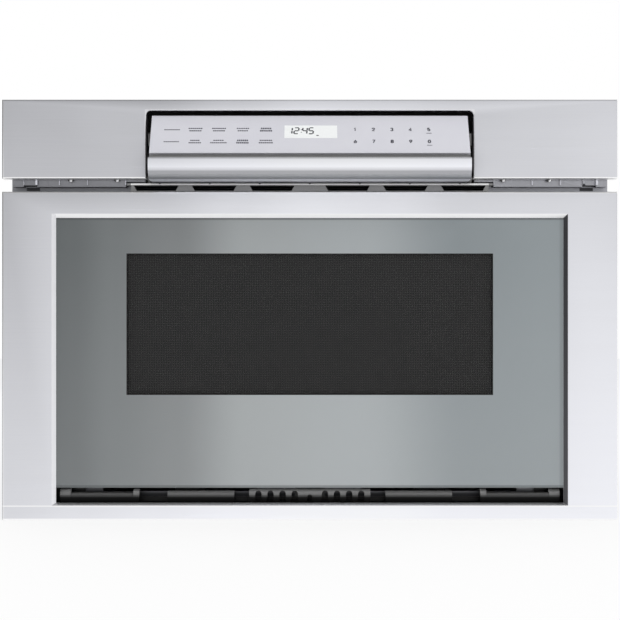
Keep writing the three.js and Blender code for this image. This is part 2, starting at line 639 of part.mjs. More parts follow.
// Outline of a scroll whose radius grows steadily with the angle, ending in a straight outlet.
function scroll(offset) {
  const shape = new THREE.Shape();
  const steps = 14;
  for (let i = 0; i <= steps; i++) {
    const turn = (i / steps) * 1.5 * Math.PI;
    const radius = wheelRadius + 6 + 24 * (i / steps) + offset;
    const angle = Math.PI - turn;
    const at = [blowerX + radius * Math.cos(angle), blowerZ + radius * Math.sin(angle)];
    if (i === 0) shape.moveTo(...at);
    else shape.lineTo(...at);
  }
  shape.lineTo(blowerX - 88 - 3 * offset, blowerZ - wheelRadius - 30 - offset);
  shape.lineTo(blowerX - 88 - 3 * offset, blowerZ - wheelRadius + 4 + offset);
  shape.lineTo(blowerX - wheelRadius - 6 - offset, blowerZ - wheelRadius + 4 + offset);
  return shape;
}

function blowerHousing() {
  const t = 1.5;
  const shell = prism("y", scroll(t), blowerY[0], blowerY[1]);
  const hollow = prism("y", scroll(0), blowerY[0] + t, blowerY[1] - t);
  const inlet = bar("y", wheelRadius - 8, blowerY[0] - 5, blowerY[0] + 5, [blowerX, blowerZ], 16);
  const motorHole = bar("y", 8, blowerY[1] - 5, blowerY[1] + 5, [blowerX, blowerZ], 10);
  const mouth = block([blowerX - 100, blowerX - 86], [blowerY[0] + t, blowerY[1] - t],
    [blowerZ - wheelRadius - 30, blowerZ - wheelRadius + 4]);
  const leg = block([blowerX - 30, blowerX + 30], [blowerY[1] - t, blowerY[1]],
    [shellFloorZ, blowerZ - 50]);
  const foot = block([blowerX - 30, blowerX + 30], [blowerY[1] - 20, blowerY[1]],
    [shellFloorZ, shellFloorZ + t]);
  return shell.add(leg).add(foot).subtract(hollow).subtract(inlet).subtract(motorHole).subtract(mouth);
}

// Squirrel-cage wheel: forward-curved blades between a back plate and a rim ring.
function blowerWheel() {
  const y0 = blowerY[0] + 4;
  const y1 = blowerY[1] - 5;
  const centre = [blowerX, blowerZ];
  const plate = bar("y", wheelRadius, y1 - 2, y1, centre, 20);
  const ring = bar("y", wheelRadius, y0, y0 + 3, centre, 20)
    .subtract(bar("y", wheelRadius - 7, y0 - 1, y0 + 5, centre, 20));
  const hub = bar("y", 7, y1 - 14, y1, centre, 10);
  const blades = Array.from({ length: BLADES }, (_, i) => {
    const angle = ((i + 0.5) * 2 * Math.PI) / BLADES;
    const at = (radius, swing) => [blowerX + radius * Math.cos(angle + swing),
      blowerZ + radius * Math.sin(angle + swing)];
    return prism("y", [at(wheelRadius - 7, 0), at(wheelRadius - 1, 0.1), at(wheelRadius - 1, 0.13),
      at(wheelRadius - 7, 0.03)], y0 + 2, y1 - 1);
  });
  const bore = bar("y", 3.3, y0 - 5, y1 + 5, centre, 8);
  return join([plate, ring, hub, ...blades]).subtract(bore);
}

function blowerMotor() {
  const centre = [blowerX, blowerZ];
  const front = blowerY[1] + GAP;
  const can = bar("y", 30, front + 6, front + 46, centre, 20);
  const flange = bar("y", 14, front, front + 7, centre, 12);
  const shaft = bar("y", 3, blowerY[0] + 12, front + 2, centre, 8);
  const ears = [-1, 1].map((side) => block([blowerX + side * 38 - 5, blowerX + side * 38 + 5],
    [front, front + 20], [blowerZ - 4, blowerZ + 4]));
  const bridge = block([blowerX - 42, blowerX + 42], [front + 14, front + 20], [blowerZ - 4, blowerZ + 4]);
  return join([can, flange, shaft, ...ears, bridge]);
}

// ---------------------------------------------------------------- drawer slides
// A channel open to one side: web from webX to webX + sheet, lips reaching to lipX.
function channel(webX, lipX, halfHeight, lipThick, y) {
  const inward = Math.sign(lipX - webX);
  const webInner = webX + inward * SLIDE_SHEET;
  const z = SLIDE_Z;
  return prism("y", [[webX, z - halfHeight], [lipX, z - halfHeight], [lipX, z - halfHeight + lipThick],
    [webInner, z - halfHeight + lipThick], [webInner, z + halfHeight - lipThick],
    [lipX, z + halfHeight - lipThick], [lipX, z + halfHeight], [webX, z + halfHeight]], y[0], y[1]);
}
const outerHalf = SLIDE_HEIGHT / 2;
const middleHalf = outerHalf - SLIDE_SHEET - GAP;
const innerHalf = middleHalf - BALL_TRACK - GAP;
// Screw holes at distances behind the face the flange bears on.
const screwRow = (...setbacks) => join(setbacks.map((setback) =>
  bar("x", 3, slideInnerX - 5, slideOuterX + 5, [bearY + setback, SLIDE_Z], 8)));

function slideOuter() {
  const body = channel(slideOuterX, slideInnerX + 1, outerHalf, SLIDE_SHEET,
    [shellFrontY + GAP, shellFrontY + GAP + SLIDE_LENGTH]);
  return body.subtract(screwRow(52, 232, 412));
}

function slideMiddle() {
  const web = slideOuterX - SLIDE_SHEET - GAP;
  return channel(web, slideInnerX + 2.2, middleHalf, BALL_TRACK,
    [shellFrontY + 3, shellFrontY + SLIDE_LENGTH - 17]).subtract(screwRow(112, 332));
}

function slideInner() {
  return channel(slideInnerX, slideOuterX - 2 * (SLIDE_SHEET + GAP) - GAP, innerHalf, SLIDE_SHEET,
    [shellFrontY + 2, shellFrontY + SLIDE_LENGTH - 7]).subtract(screwRow(82, 262, 442));
}

// ---------------------------------------------------------------- rack-and-pinion drive
const involute = (angle) => Math.tan(angle) - angle;

// Involute gear outline about a centre in (y, z), with a tooth at the given angle.
function gearOutline(teeth, module, centre, toothAt, flankPoints) {
  const pitch = (module * teeth) / 2;
  const base = pitch * Math.cos(PRESSURE_ANGLE);
  const root = pitch - 1.25 * module;
  const tip = pitch + module;
  const halfTooth = Math.PI / (2 * teeth) - BACKLASH / (4 * pitch);
  const half = (radius) => halfTooth + involute(PRESSURE_ANGLE) -
    involute(Math.acos(Math.min(1, base / Math.max(radius, base))));
  const radii = flankPoints === 2 ? [root, tip] : [root, Math.max(root + 0.2, base), tip];
  const points = [];
  for (let tooth = 0; tooth < teeth; tooth++) {
    const middle = toothAt + (tooth * 2 * Math.PI) / teeth;
    const at = (radius, angle) => points.push([centre[0] + radius * Math.cos(angle),
      centre[1] + radius * Math.sin(angle)]);
    for (const radius of radii) at(radius, middle - half(radius));
    for (const radius of [...radii].reverse()) at(radius, middle + half(radius));
  }
  return points;
}

// Straight-flanked teeth that point down, with a tooth over the pinion's axis.
function rack() {
  const pitch = Math.PI * RACK_MODULE;
  const before = 1;
  const after = Math.ceil((TRAVEL + 14) / pitch);
  const slope = Math.tan(PRESSURE_ANGLE);
  const tipHalf = pitch / 4 - BACKLASH / 4 - RACK_MODULE * slope;
  const rootHalf = pitch / 4 - BACKLASH / 4 + 1.25 * RACK_MODULE * slope;
  const rootZ = rackPitchZ + 1.25 * RACK_MODULE;
  const points = [];
  for (let tooth = -before; tooth <= after; tooth++) {
    const y = shaftY + tooth * pitch;
    points.push([y - rootHalf, rootZ], [y - tipHalf, RACK_TIP_Z], [y + tipHalf, RACK_TIP_Z],
      [y + rootHalf, rootZ]);
  }
  const first = shaftY - (before + 0.5) * pitch;
  const last = shaftY + (after + 0.5) * pitch;
  points.push([last, rootZ], [last, rootZ + RACK_BACK], [first, rootZ + RACK_BACK], [first, rootZ]);
  return prism("x", points, rackInnerX, rackOuterX);
}

const shaftBore = (radius) => bar("x", radius, -halfBody, halfBody, [shaftY, shaftZ], 12);
const gearX = [halfCavity + SHELL_SHEET + 3.8, halfCavity + SHELL_SHEET + 3.8 + GEAR_WIDTH];
const pinionX = [rackInnerX - 0.5, rackOuterX + 0.5];

function rackPinion() {
  const gap = Math.PI / PINION_TEETH;
  const teeth = prism("x", gearOutline(PINION_TEETH, RACK_MODULE, [shaftY, shaftZ],
    Math.PI / 2 - gap, 3), ...pinionX);
  const hub = bar("x", 9, gearX[1] - 1, pinionX[0] + 1, [shaftY, shaftZ], 10);
  return teeth.add(hub).subtract(shaftBore(SHAFT_RADIUS + GAP));
}

// The right pinion carries the large gear that the motor drives.
function driveGear() {
  const teeth = prism("x", gearOutline(GEAR_TEETH, GEAR_MODULE, [shaftY, shaftZ], MOTOR_ANGLE, 2),
    ...gearX);
  return rackPinion().add(teeth).subtract(shaftBore(SHAFT_RADIUS + GAP));
}

function motorPinion() {
  const toothAt = MOTOR_ANGLE + Math.PI + Math.PI / MOTOR_PINION_TEETH;
  const teeth = prism("x", gearOutline(MOTOR_PINION_TEETH, GEAR_MODULE, [motorY, motorZ], toothAt, 2),
    ...gearX);
  const stub = bar("x", 4, earX[0], gearX[0] + 1, [motorY, motorZ], 10);
  return teeth.add(stub);
}
const earX = [halfCavity - 3, halfCavity];
const outerEarX = [slideInnerX + 0.5, slideInnerX + 3.5];

function driveShaft() {
  return bar("x", SHAFT_RADIUS, -outerEarX[1] - 2, outerEarX[1] + 2, [shaftY, shaftZ], 12);
}

// Bent plate on the base with four ears that hold the cross shaft and the gearmotor.
function shaftCarrier() {
  const floorZ = shellFloorZ;
  const earReach = 13;
  const floor = block([-outerEarX[1], outerEarX[1]], [shaftY - earReach - 12, shaftY + earReach],
    [floorZ, floorZ + 1.5]);
  const ear = (x) => prism("x", [[shaftY - earReach, floorZ], [shaftY + earReach, floorZ],
    [shaftY + 10, shaftZ], [shaftY + 7, shaftZ + 9], [shaftY - 7, shaftZ + 9],
    [shaftY - 10, shaftZ]], ...x);
  const motorEar = prism("x", [[shaftY - earReach, floorZ], [motorY + 12, floorZ],
    [motorY + 24, motorZ], [motorY + 16, motorZ + 20], [shaftY - 7, shaftZ + 9],
    [shaftY - 10, shaftZ]], ...earX);
  const flip = (x) => x.map((value) => -value).reverse();
  const stubHole = bar("x", 4.4, earX[0] - 5, earX[1] + 5, [motorY, motorZ], 10);
  return join([floor, ear(outerEarX), ear(flip(outerEarX)), ear(flip(earX)), motorEar])
    .subtract(shaftBore(SHAFT_RADIUS + GAP)).subtract(stubHole);
}

function gearmotor() {
  const face = earX[0] - GAP;
  const centre = [motorY, motorZ];
  const box = bar("x", 22, face - 26, face, centre, 16);
  const rim = bar("x", 23.5, face - 16, face - 13, centre, 16);
  const can = bar("x", 17, face - 70, face - 25, [motorY, motorZ + 2], 12);
  const tail = bar("x", 6, face - 74, face - 69, [motorY, motorZ + 2], 8);
  const plug = block([face - 66, face - 50], [motorY + 12, motorY + 24], [motorZ - 6, motorZ + 6]);
  return join([box, rim, can, tail, plug]);
}

// ---------------------------------------------------------------- drawer front
// A block in the XZ plane whose front face is larger by grow on each side than its back face.
function flared(x, y, z, grow) {
  const box = new THREE.BoxGeometry(x[1] - x[0], y[1] - y[0], z[1] - z[0]);
  const at = box.getAttribute("position");
  for (let i = 0; i < at.count; i++) {
    if (at.getY(i) > 0) continue;
    at.setX(i, at.getX(i) + Math.sign(at.getX(i)) * grow);
    at.setZ(i, at.getZ(i) + Math.sign(at.getZ(i)) * grow);
  }
  box.translate((x[0] + x[1]) / 2, (y[0] + y[1]) / 2, (z[0] + z[1]) / 2);
  return solid(box);
}

const openHalf = halfFront - DOOR_RAIL;
const openBottomZ = doorBottomZ + DOOR_BOTTOM_RAIL;
const openTopZ = doorTopZ - DOOR_TOP_RAIL;
const glassFrontY = frontY + BEVEL + GAP;
const glassBackY = glassFrontY + GLASS_THICK;
const glassBottomZ = openBottomZ + SLOT_HEIGHT;
const screenBackY = glassBackY + GAP + 1;
const windowZ = [doorBottomZ + WINDOW_BOTTOM, doorBottomZ + WINDOW_BOTTOM + WINDOW_HEIGHT];
const halfWindow = WINDOW_WIDTH / 2;

// Folded steel skin with returns on all sides and a bevelled lip round its opening.
function doorFrame() {
  const t = FRAME_SHEET;
  const outer = block([-halfFront, halfFront], [frontY, doorBackY], [doorBottomZ, doorTopZ]);
  const hollow = block([-halfFront + t, halfFront - t], [frontY + t, doorBackY + 5],
    [doorBottomZ + t, doorTopZ - t]);
  const lipY = [frontY, frontY + BEVEL];
  const lipGrow = t * Math.SQRT2;
  const lip = flared([-openHalf - lipGrow, openHalf + lipGrow], lipY,
    [openBottomZ - lipGrow, openTopZ + lipGrow], BEVEL);
  const slope = 2 * BEVEL;
  const opening = flared([-openHalf + BEVEL / 2, openHalf - BEVEL / 2],
    [lipY[0] - BEVEL / 2, lipY[1] + BEVEL / 2], [openBottomZ + BEVEL / 2, openTopZ - BEVEL / 2], slope);
  return outer.subtract(hollow).add(lip).subtract(opening);
}

function doorGlass() {
  return prism("y", roundedRect([-openHalf - GLASS_LAP, openHalf + GLASS_LAP],
    [glassBottomZ, openTopZ + GLASS_LAP], 2), glassFrontY, glassBackY, 2);
}

function windowScreen() {
  const half = halfWindow + SCREEN_LAP;
  return block([-half, half], [glassBackY + GAP, screenBackY],
    [windowZ[0] - SCREEN_LAP, windowZ[1] + SCREEN_LAP]);
}

const panHalf = halfFront - FRAME_SHEET - GAP;
const panZ = [doorBottomZ + FRAME_SHEET + GAP, doorTopZ - FRAME_SHEET - GAP];

// Steel pan that closes the drawer front from behind, with a tunnel behind the window.
function doorPan() {
  const t = SHELL_SHEET;
  const front = doorBackY - 20;
  const shell = block([-panHalf, panHalf], [front, doorBackY], panZ)
    .subtract(block([-panHalf + t, panHalf - t], [front - 5, doorBackY - t], [panZ[0] + t, panZ[1] - t]));
  const ring = (grow) => [[-halfWindow - grow, halfWindow + grow], [windowZ[0] - grow, windowZ[1] + grow]];
  const [outX, outZ] = ring(SCREEN_LAP - 1);
  const [inX, inZ] = ring(SCREEN_LAP - 1 - t);
  const tunnel = block(outX, [screenBackY + GAP, doorBackY - 0.2], outZ);
  const airways = row(4, 120, (x) => block([x - 45, x + 45], [doorBackY - 5, doorBackY + 5],
    [openBottomZ + 3, glassBottomZ - 1]));
  return shell.add(tunnel).subtract(block(inX, [frontY, doorBackY + 5], inZ)).subtract(join(airways));
}

const chokeY = [doorBackY + GAP, doorBackY + GAP + 2];

// Flat plastic ring on the back of the pan, facing the metal round the cavity's mouth.
function chokeCover() {
  const half = halfCavity + 15;
  return prism("y", roundedRect([-half, half], [CAVITY_FLOOR - 14, cavityTopZ + 14], 6),
    ...chokeY, 2).subtract(prism("y", roundedRect([-halfBox - 1.5, halfBox + 1.5],
    [boxBottomZ - 1.5, windowZ[1] + 12], 4), chokeY[0] - 1, chokeY[1] + 1, 2));
}

// Black moulding behind the air slot: ridged bands with arched holes in the middle one.
function doorGrille() {
  const floorZ = [openBottomZ - 3.2, openBottomZ - 1.6];
  const front = glassFrontY + 0.5;
  const ridgeFront = front + 6;
  const ridgeTop = glassBottomZ - 2.2;
  const slab = block([-openHalf + 1, openHalf - 1], [front, doorBackY - SHELL_SHEET - GAP], floorZ);
  const section = (top) => {
    const shape = new THREE.Shape();
    shape.moveTo(ridgeFront, floorZ[0] + 0.5);
    shape.lineTo(ridgeFront, top - 7);
    shape.absarc(ridgeFront + 7, top - 7, 7, Math.PI, Math.PI / 2, true);
    shape.lineTo(ridgeFront + 9, top);
    shape.lineTo(ridgeFront + 9, floorZ[0] + 0.5);
    return shape;
  };
  const band = (x, top) => prism("x", section(top), x[0], x[1], 2);
  const bands = [band([-60, 60], ridgeTop)];
  for (const side of [-1, 1]) {
    const span = (a, b) => (side < 0 ? [-b, -a] : [a, b]);
    bands.push(band(span(75, 141), ridgeTop - 1.6), band(span(169, 240), ridgeTop - 3.4));
    bands.push(band(span(169, 175), ridgeTop), band(span(237, openHalf - 2), ridgeTop));
  }
  const arch = (x, top, width) => {
    const shape = new THREE.Shape();
    shape.moveTo(x - width / 2, floorZ[1] + 2);
    shape.lineTo(x + width / 2, floorZ[1] + 2);
    shape.lineTo(x + width / 2, top - width / 2);
    shape.absarc(x, top - width / 2, width / 2, 0, Math.PI);
    return prism("y", shape, ridgeFront - 2, ridgeFront + 12, 3);
  };
  const arches = [-51, -39, -27, -15, 15, 27, 39, 51].map((x) => arch(x, ridgeTop - 1.4, 6.4));
  return join([slab, ...bands]).subtract(join([...arches, arch(0, ridgeTop - 5, 5)]));
}

// ---------------------------------------------------------------- drawer box
const boxY = [doorBackY + GAP, doorBackY + GAP + BOX_DEPTH];

function drawerBox() {
  const t = BOX_WALL;
  const topZ = boxBottomZ + BOX_WALL_HEIGHT;
  const outer = prism("z", [[-halfBox, boxY[0]], [halfBox, boxY[0]], [halfBox, boxY[1] - 8],
    [halfBox - 8, boxY[1]], [-halfBox + 8, boxY[1]], [-halfBox, boxY[1] - 8]], boxBottomZ, topZ);
  const inner = prism("z", [[-halfBox + t, boxY[0] - 5], [halfBox - t, boxY[0] - 5],
    [halfBox - t, boxY[1] - 8 - t / 3], [halfBox - 8 - t / 3, boxY[1] - t],
    [-halfBox + 8 + t / 3, boxY[1] - t], [-halfBox + t, boxY[1] - 8 - t / 3]], boxBottomZ + t, topZ + 5);
  const window = block([-halfBox + BOX_LEDGE, halfBox - BOX_LEDGE],
    [boxY[0] + BOX_LEDGE, boxY[1] - BOX_LEDGE], [boxBottomZ - 5, boxBottomZ + 5]);
  const rim = block([-halfBox - 4, halfBox + 4], [boxY[0] + 6, boxY[1] + 4], [topZ - t, topZ])
    .subtract(block([-halfBox + t, halfBox - t], [boxY[0], boxY[1] - t], [topZ - 5, topZ + 5]));
  return outer.subtract(inner).subtract(window).add(rim);
}

function ceramicShelf() {
  const half = halfBox - BOX_WALL - GAP;
  const back = boxY[1] - BOX_WALL - GAP;
  const z = boxBottomZ + BOX_WALL + GAP;
  return prism("z", [[-half, boxY[0] + GAP], [half, boxY[0] + GAP], [half, back - 8.5],
    [half - 8.5, back], [-half + 8.5, back], [-half, back - 8.5]], z, z + SHELF_THICK);
}

function drawerArm() {
  const x = [armInnerX, armInnerX + ARM_SHEET];
  const bottom = rackPitchZ + 1.25 * RACK_MODULE + 1.5;
  const top = SLIDE_Z + outerHalf - 1.8;
  const backEnd = boxY[1] + 20.7;
  const plate = prism("x", [[boxY[0], bottom], [backEnd, bottom], [backEnd, top - 24], [backEnd - 30, top],
    [boxY[0], top]], ...x);
  const foot = block([slideOpening[0] + 0.6, x[1]], [boxY[0], boxY[0] + ARM_SHEET], [bottom + 14, top]);
  const holeZ = [SLIDE_Z - 13, SLIDE_Z + 9];
  const holes = [92, 252].map((setback) => prism("x",
    roundedRect([bearY + setback, bearY + setback + 60], holeZ, 8), x[0] - 1, x[1] + 1, 2));
  return plate.add(foot).subtract(join(holes));
}

const hookX = [slideOpening[0] + 2, slideOpening[0] + 5];
const housingX = [halfCavity + 11, halfCavity + 34];

function latchHook() {
  const z = [hookZ - hookHeight / 2, hookZ + hookHeight / 2];
  const tipY = boxY[0] + 30;
  const blade = prism("x", [[boxY[0], z[0]], [tipY - 8, z[0]], [tipY, z[0] + 5], [tipY - 1, z[0] + 9],
    [tipY - 10, z[0] + 9], [tipY - 10, z[1] - 4], [boxY[0] + 6, z[1]], [boxY[0], z[1]]], ...hookX);
  const foot = block([hookX[0], hookX[0] + 12], [boxY[0], boxY[0] + 1.6], z);
  return blade.add(foot);
}

// Housing behind the flange with a slot for the latch hook and three switches on its side.
function switchHousing() {
  const y = [shellFrontY, shellFrontY + 48];
  const z = [hookZ - 19, hookZ + 19];
  const body = block(housingX, y, z);
  const pocket = block([housingX[0] + 2.5, housingX[1] - 2.5], [y[0] - 5, y[1] - 14],
    [z[0] + 3, z[1] - 3]);
  const switches = row(3, 12.5, (dz) => block([housingX[1] - 0.5, housingX[1] + 8], [y[0] + 14, y[0] + 40],
    [hookZ + dz - 5, hookZ + dz + 5]));
  const terminals = row(3, 12.5, (dz) => block([housingX[1] + 1, housingX[1] + 6], [y[0] + 39, y[0] + 46],
    [hookZ + dz - 0.6, hookZ + dz + 0.6]));
  return join([body, ...switches, ...terminals]).subtract(pocket);
}

// ---------------------------------------------------------------- control panel
// Outlines are (reach, rise): forward of and above the pivot.
const fromPivot = ([reach, rise]) => [pivotY - reach, pivotZ + rise];
const panelTop = [POD_PANEL_LEAN, POD_PANEL_RISE];
const panelFoot = [POD_PANEL_REACH, POD_PANEL_FOOT];
const panelLength = Math.hypot(panelFoot[0] - panelTop[0], panelFoot[1] - panelTop[1]);
const panelDown = [0, 1].map((i) => (panelFoot[i] - panelTop[i]) / panelLength);
const panelOut = [-panelDown[1], panelDown[0]];
// A point of the control face: this far down it, and this deep behind it.
const onPanel = (down, depth) =>
  [0, 1].map((i) => panelTop[i] + panelDown[i] * down - panelOut[i] * depth);

// Underside, rounded nose, upright front and top edge, drawn in by an offset.
function noseLine(offset) {
  const under = -POD_PIVOT_SETBACK;
  const [forward, upward] = POD_NOSE_RADIUS;
  const centre = [POD_NOSE_REACH - forward, under + upward];
  const points = [[under, under + offset]];
  for (let i = 0; i <= 6; i++) {
    const angle = (i / 6) * (Math.PI / 2);
    points.push([centre[0] + (forward - offset) * Math.sin(angle),
      centre[1] - (upward - offset) * Math.cos(angle)]);
  }
  const bend = Math.max(POD_NOSE_EDGE - offset, 0.1);
  const top = [POD_NOSE_REACH - offset - bend, POD_NOSE_TOP - offset - bend];
  for (let i = 0; i <= 2; i++) {
    const angle = (i / 2) * (Math.PI / 2);
    points.push([top[0] + bend * Math.cos(angle), top[1] + bend * Math.sin(angle)]);
  }
  return points;
}

function noseCover() {
  const outline = [...noseLine(0), ...noseLine(POD_SKIN).reverse()].map(fromPivot);
  return prism("x", outline, -halfPod, halfPod);
}

function podHousing() {
  const seat = CONTROL_GLASS + GAP;
  const back = -POD_PIVOT_SETBACK;
  const nose = noseLine(POD_SKIN + GAP);
  const outline = [...nose.slice(0, -1), [POD_NOSE_REACH - 7, POD_NOSE_TOP - 1.5],
    onPanel(panelLength + 0.6, seat), onPanel(1, seat), [-1, POD_PANEL_RISE - 2.6], [back, POD_PANEL_RISE - 8]];
  const w = POD_WALL;
  const noseInner = noseLine(POD_SKIN + GAP + w);
  noseInner[0] = [back + w, noseInner[0][1]];
  const innerOutline = [...noseInner.slice(0, -2), onPanel(panelLength - 3, seat + w),
    onPanel(5, seat + w), [back + w, POD_PANEL_RISE - 10]];
  const shell = prism("x", outline.map(fromPivot), -halfPod, halfPod);
  const hollow = prism("x", innerOutline.map(fromPivot), -halfPod + w, halfPod - w);
  const window = prism("x", [onPanel(8, seat - 5), onPanel(panelLength - 7, seat - 5),
    onPanel(panelLength - 7, seat + w + 1), onPanel(8, seat + w + 1)].map(fromPivot),
    -halfPod + 9, halfPod - 9);
  const pins = [[-halfPod - 4.6, -halfPod + 1], [halfPod - 1, halfPod + 4.6]].map((x) =>
    bar("x", PIN_RADIUS, ...x, [pivotY, pivotZ], 10));
  const bosses = [[-halfPod + 1, -halfPod + 8], [halfPod - 8, halfPod - 1]].map((x) =>
    prism("x", [[-3.5, -2], [4, -2], [4, 4], [-3.5, 4]].map(fromPivot), ...x));
  return join([shell.subtract(hollow).subtract(window), ...bosses, ...pins]);
}

function controlGlass() {
  return prism("x", [onPanel(0, 0), onPanel(panelLength, 0), onPanel(panelLength, CONTROL_GLASS),
    onPanel(0.8, CONTROL_GLASS)].map(fromPivot), -halfPod, halfPod);
}

function displayBoard() {
  const depth = CONTROL_GLASS + POD_WALL + 2 * GAP;
  const face = (down, deep, x) => prism("x", [onPanel(down[0], deep[0]), onPanel(down[1], deep[0]),
    onPanel(down[1], deep[1]), onPanel(down[0], deep[1])].map(fromPivot), ...x);
  const board = face([7, panelLength - 7], [depth, depth + 1.6], [-142, 142]);
  const display = face([13, 31], [CONTROL_GLASS + GAP, depth + 0.2], [-28, 30]);
  const chips = [-90, -50, 60, 105].map((x) => face([18, 30], [depth + 1.5, depth + 4], [x, x + 16]));
  return join([board, display, ...chips]);
}

const bracketX = [halfPod + 1.8, halfPod + 3.8];

// Side plate that carries the pivot, with the grey stop tab that shows beside the panel.
function podBracket() {
  const at = (reach, rise) => fromPivot([reach, rise]);
  const plate = prism("x", [at(-33, -4), at(-7, -4), at(0, -5), at(3.4, -3.4), at(3.4, 3.4), at(0, 5),
    at(-13, 9), at(-13, 32), at(2, 32), at(2, 44), at(-13, 44), at(-20, 48), at(-33, 48)], ...bracketX);
  const foot = prism("x", [at(-33, -4), at(-31, -4), at(-31, 48), at(-33, 48)],
    bracketX[1] - 1, recessHalf - GAP);
  const hole = bar("x", PIN_RADIUS + GAP, bracketX[0] - 5, bracketX[1] + 5, [pivotY, pivotZ], 12);
  return plate.add(foot).subtract(hole);
}

// Push catch on the back wall of the recess.
function podCatch() {
  const y = [recessBackY - GAP - 3.4, recessBackY - GAP];
  const z = [pivotZ + 24, pivotZ + 40];
  const body = block([-14, 14], y, z);
  const ears = block([-22, 22], [y[1] - 1.4, y[1]], [z[0] + 4, z[1] - 4]);
  const button = block([-4, 4], [y[0] - 1.2, y[0] + 1], [z[0] + 5, z[1] - 5]);
  return join([body, ears, button]);
}

// ---------------------------------------------------------------- electrical parts
function controlBoard() {
  const z = ductTopZ + 8;
  const y = [bearY + 52, bearY + 174];
  const board = block([-108, 108], y, [z, z + 1.6]);
  const posts = [-88, 88].flatMap((x) => [y[0] + 16, y[1] - 16].map((py) =>
    bar("z", 3.5, ductTopZ + GAP, z + 0.5, [x, py], 6)));
  const relays = row(3, 22, (x) => block([x - 60 - 8, x - 60 + 8], [y[0] + 14, y[0] + 40], [z + 1, z + 18]));
  const supply = block([20, 62], [y[0] + 20, y[0] + 56], [z + 1, z + 34]);
  const cans = [0, 1, 2].map((i) => bar("z", 6, z + 1, z + 24, [76, y[0] + 60 + i * 16], 8));
  const sinkBase = block([10, 60], [y[1] - 34, y[1] - 8], [z + 1, z + 5]);
  const sinkFins = row(4, 8, (dy) => block([10, 60], [y[1] + dy - 22, y[1] + dy - 20], [z + 1, z + 26]));
  const plugs = row(4, 22, (x) => block([x - 55 - 7, x - 55 + 7], [y[1] - 14, y[1] - 4], [z + 1, z + 11]));
  return join([board, ...posts, ...relays, supply, ...cans, sinkBase, ...sinkFins, ...plugs]);
}

function noiseFilter() {
  const outer = -sideInnerX + GAP;
  const y = cavityBackY + 26;
  const z = 262;
  const board = block([outer + 9, outer + 10.6], [y, y + 90], [z, z + 76]);
  const posts = [10, 80].flatMap((along) => [8, 68].map((up) =>
    bar("x", 3.5, outer, outer + 10, [y + along, z + up], 6)));
  const choke = bar("x", 20, outer + 10, outer + 30, [y + 32, z + 43], 14)
    .subtract(bar("x", 9, outer + 10.5, outer + 40, [y + 32, z + 43], 10));
  const fuse = block([outer + 10, outer + 20], [y + 10, y + 72], [z + 6, z + 14]);
  const cans = [60, 78].map((along) =>
    block([outer + 10, outer + 28], [y + along - 6, y + along + 6], [z + 26, z + 60]));
  return join([board, ...posts, choke, fuse, ...cans]);
}

function ovenLamp() {
  const wall = halfCavity + SHELL_SHEET + GAP;
  const plate = block([wall, wall + 1.2], [lampY - 24, lampY + 24], [lampZ - 18, lampZ + 18]);
  const socket = bar("x", 11, wall + 0.6, wall + 26, [lampY, lampZ], 12);
  const collar = bar("x", 14, wall + 0.6, wall + 8, [lampY, lampZ], 12);
  const tabs = [-4, 4].map((dz) => block([wall + 25, wall + 32], [lampY - 3, lampY + 3],
    [lampZ + dz - 0.5, lampZ + dz + 0.5]));
  const bulb = bar("x", 8, halfCavity + 0.4, wall + 1, [lampY, lampZ], 10);
  return join([plate, socket, collar, ...tabs, bulb]);
}

// ---------------------------------------------------------------- assembly
piece("base_plate", basePlate(), ZINC);
pair("side_panel", sidePanel(), ZINC);
piece("top_panel", topPanel(), ZINC);
piece("back_panel", backPanel(), ZINC);
piece("cord_gland", cordGland(), BLACK_PLASTIC);
piece("front_flange", frontFlange(), DARK_STEEL);
piece("fascia_carrier", fasciaCarrier(), ZINC);
piece("fascia", fascia(), BRUSHED);
piece("recess_liner", recessLiner(), finish(0x141516, 0.6, 0.2));
piece("exhaust_tray", exhaustTray(), DARK_STEEL);
piece("exhaust_duct", exhaustDuct(), ZINC);
piece("oven_cavity", ovenCavity(), ENAMEL);
piece("waveguide", waveguide(), ZINC);
piece("magnetron", magnetron(), ZINC);
piece("high_voltage_transformer", transformer(), DARK_STEEL);
piece("high_voltage_capacitor", capacitor(), ZINC);
piece("antenna", antenna(), finish(0xc7c9cb, 0.35, 0.9));
piece("antenna_motor", antennaMotor(), ZINC);
piece("blower_housing", blowerHousing(), GREY_PLASTIC);
piece("blower_wheel", blowerWheel(), BLACK_PLASTIC);
piece("blower_motor", blowerMotor(), DARK_STEEL);
piece("control_board", controlBoard(), finish(0x2f5d3a, 0.5, 0));
piece("noise_filter", noiseFilter(), finish(0x2f5d3a, 0.5, 0));
piece("oven_lamp", ovenLamp(), WHITE_PLASTIC);
pair("switch_housing", switchHousing(), WHITE_PLASTIC);

pair("slide_outer", slideOuter(), ZINC);
pair("slide_middle", slideMiddle(), ZINC);
pair("slide_inner", slideInner(), ZINC);
pair("rack", rack(), WHITE_PLASTIC);
piece("drive_pinion", rackPinion(), WHITE_PLASTIC).scale.x = -1;
piece("drive_gear", driveGear(), WHITE_PLASTIC);
piece("drive_shaft", driveShaft(), DARK_STEEL);
piece("shaft_carrier", shaftCarrier(), ZINC);
piece("motor_pinion", motorPinion(), finish(0xb9a05a, 0.4, 0.9));
piece("drive_gearmotor", gearmotor(), DARK_STEEL);

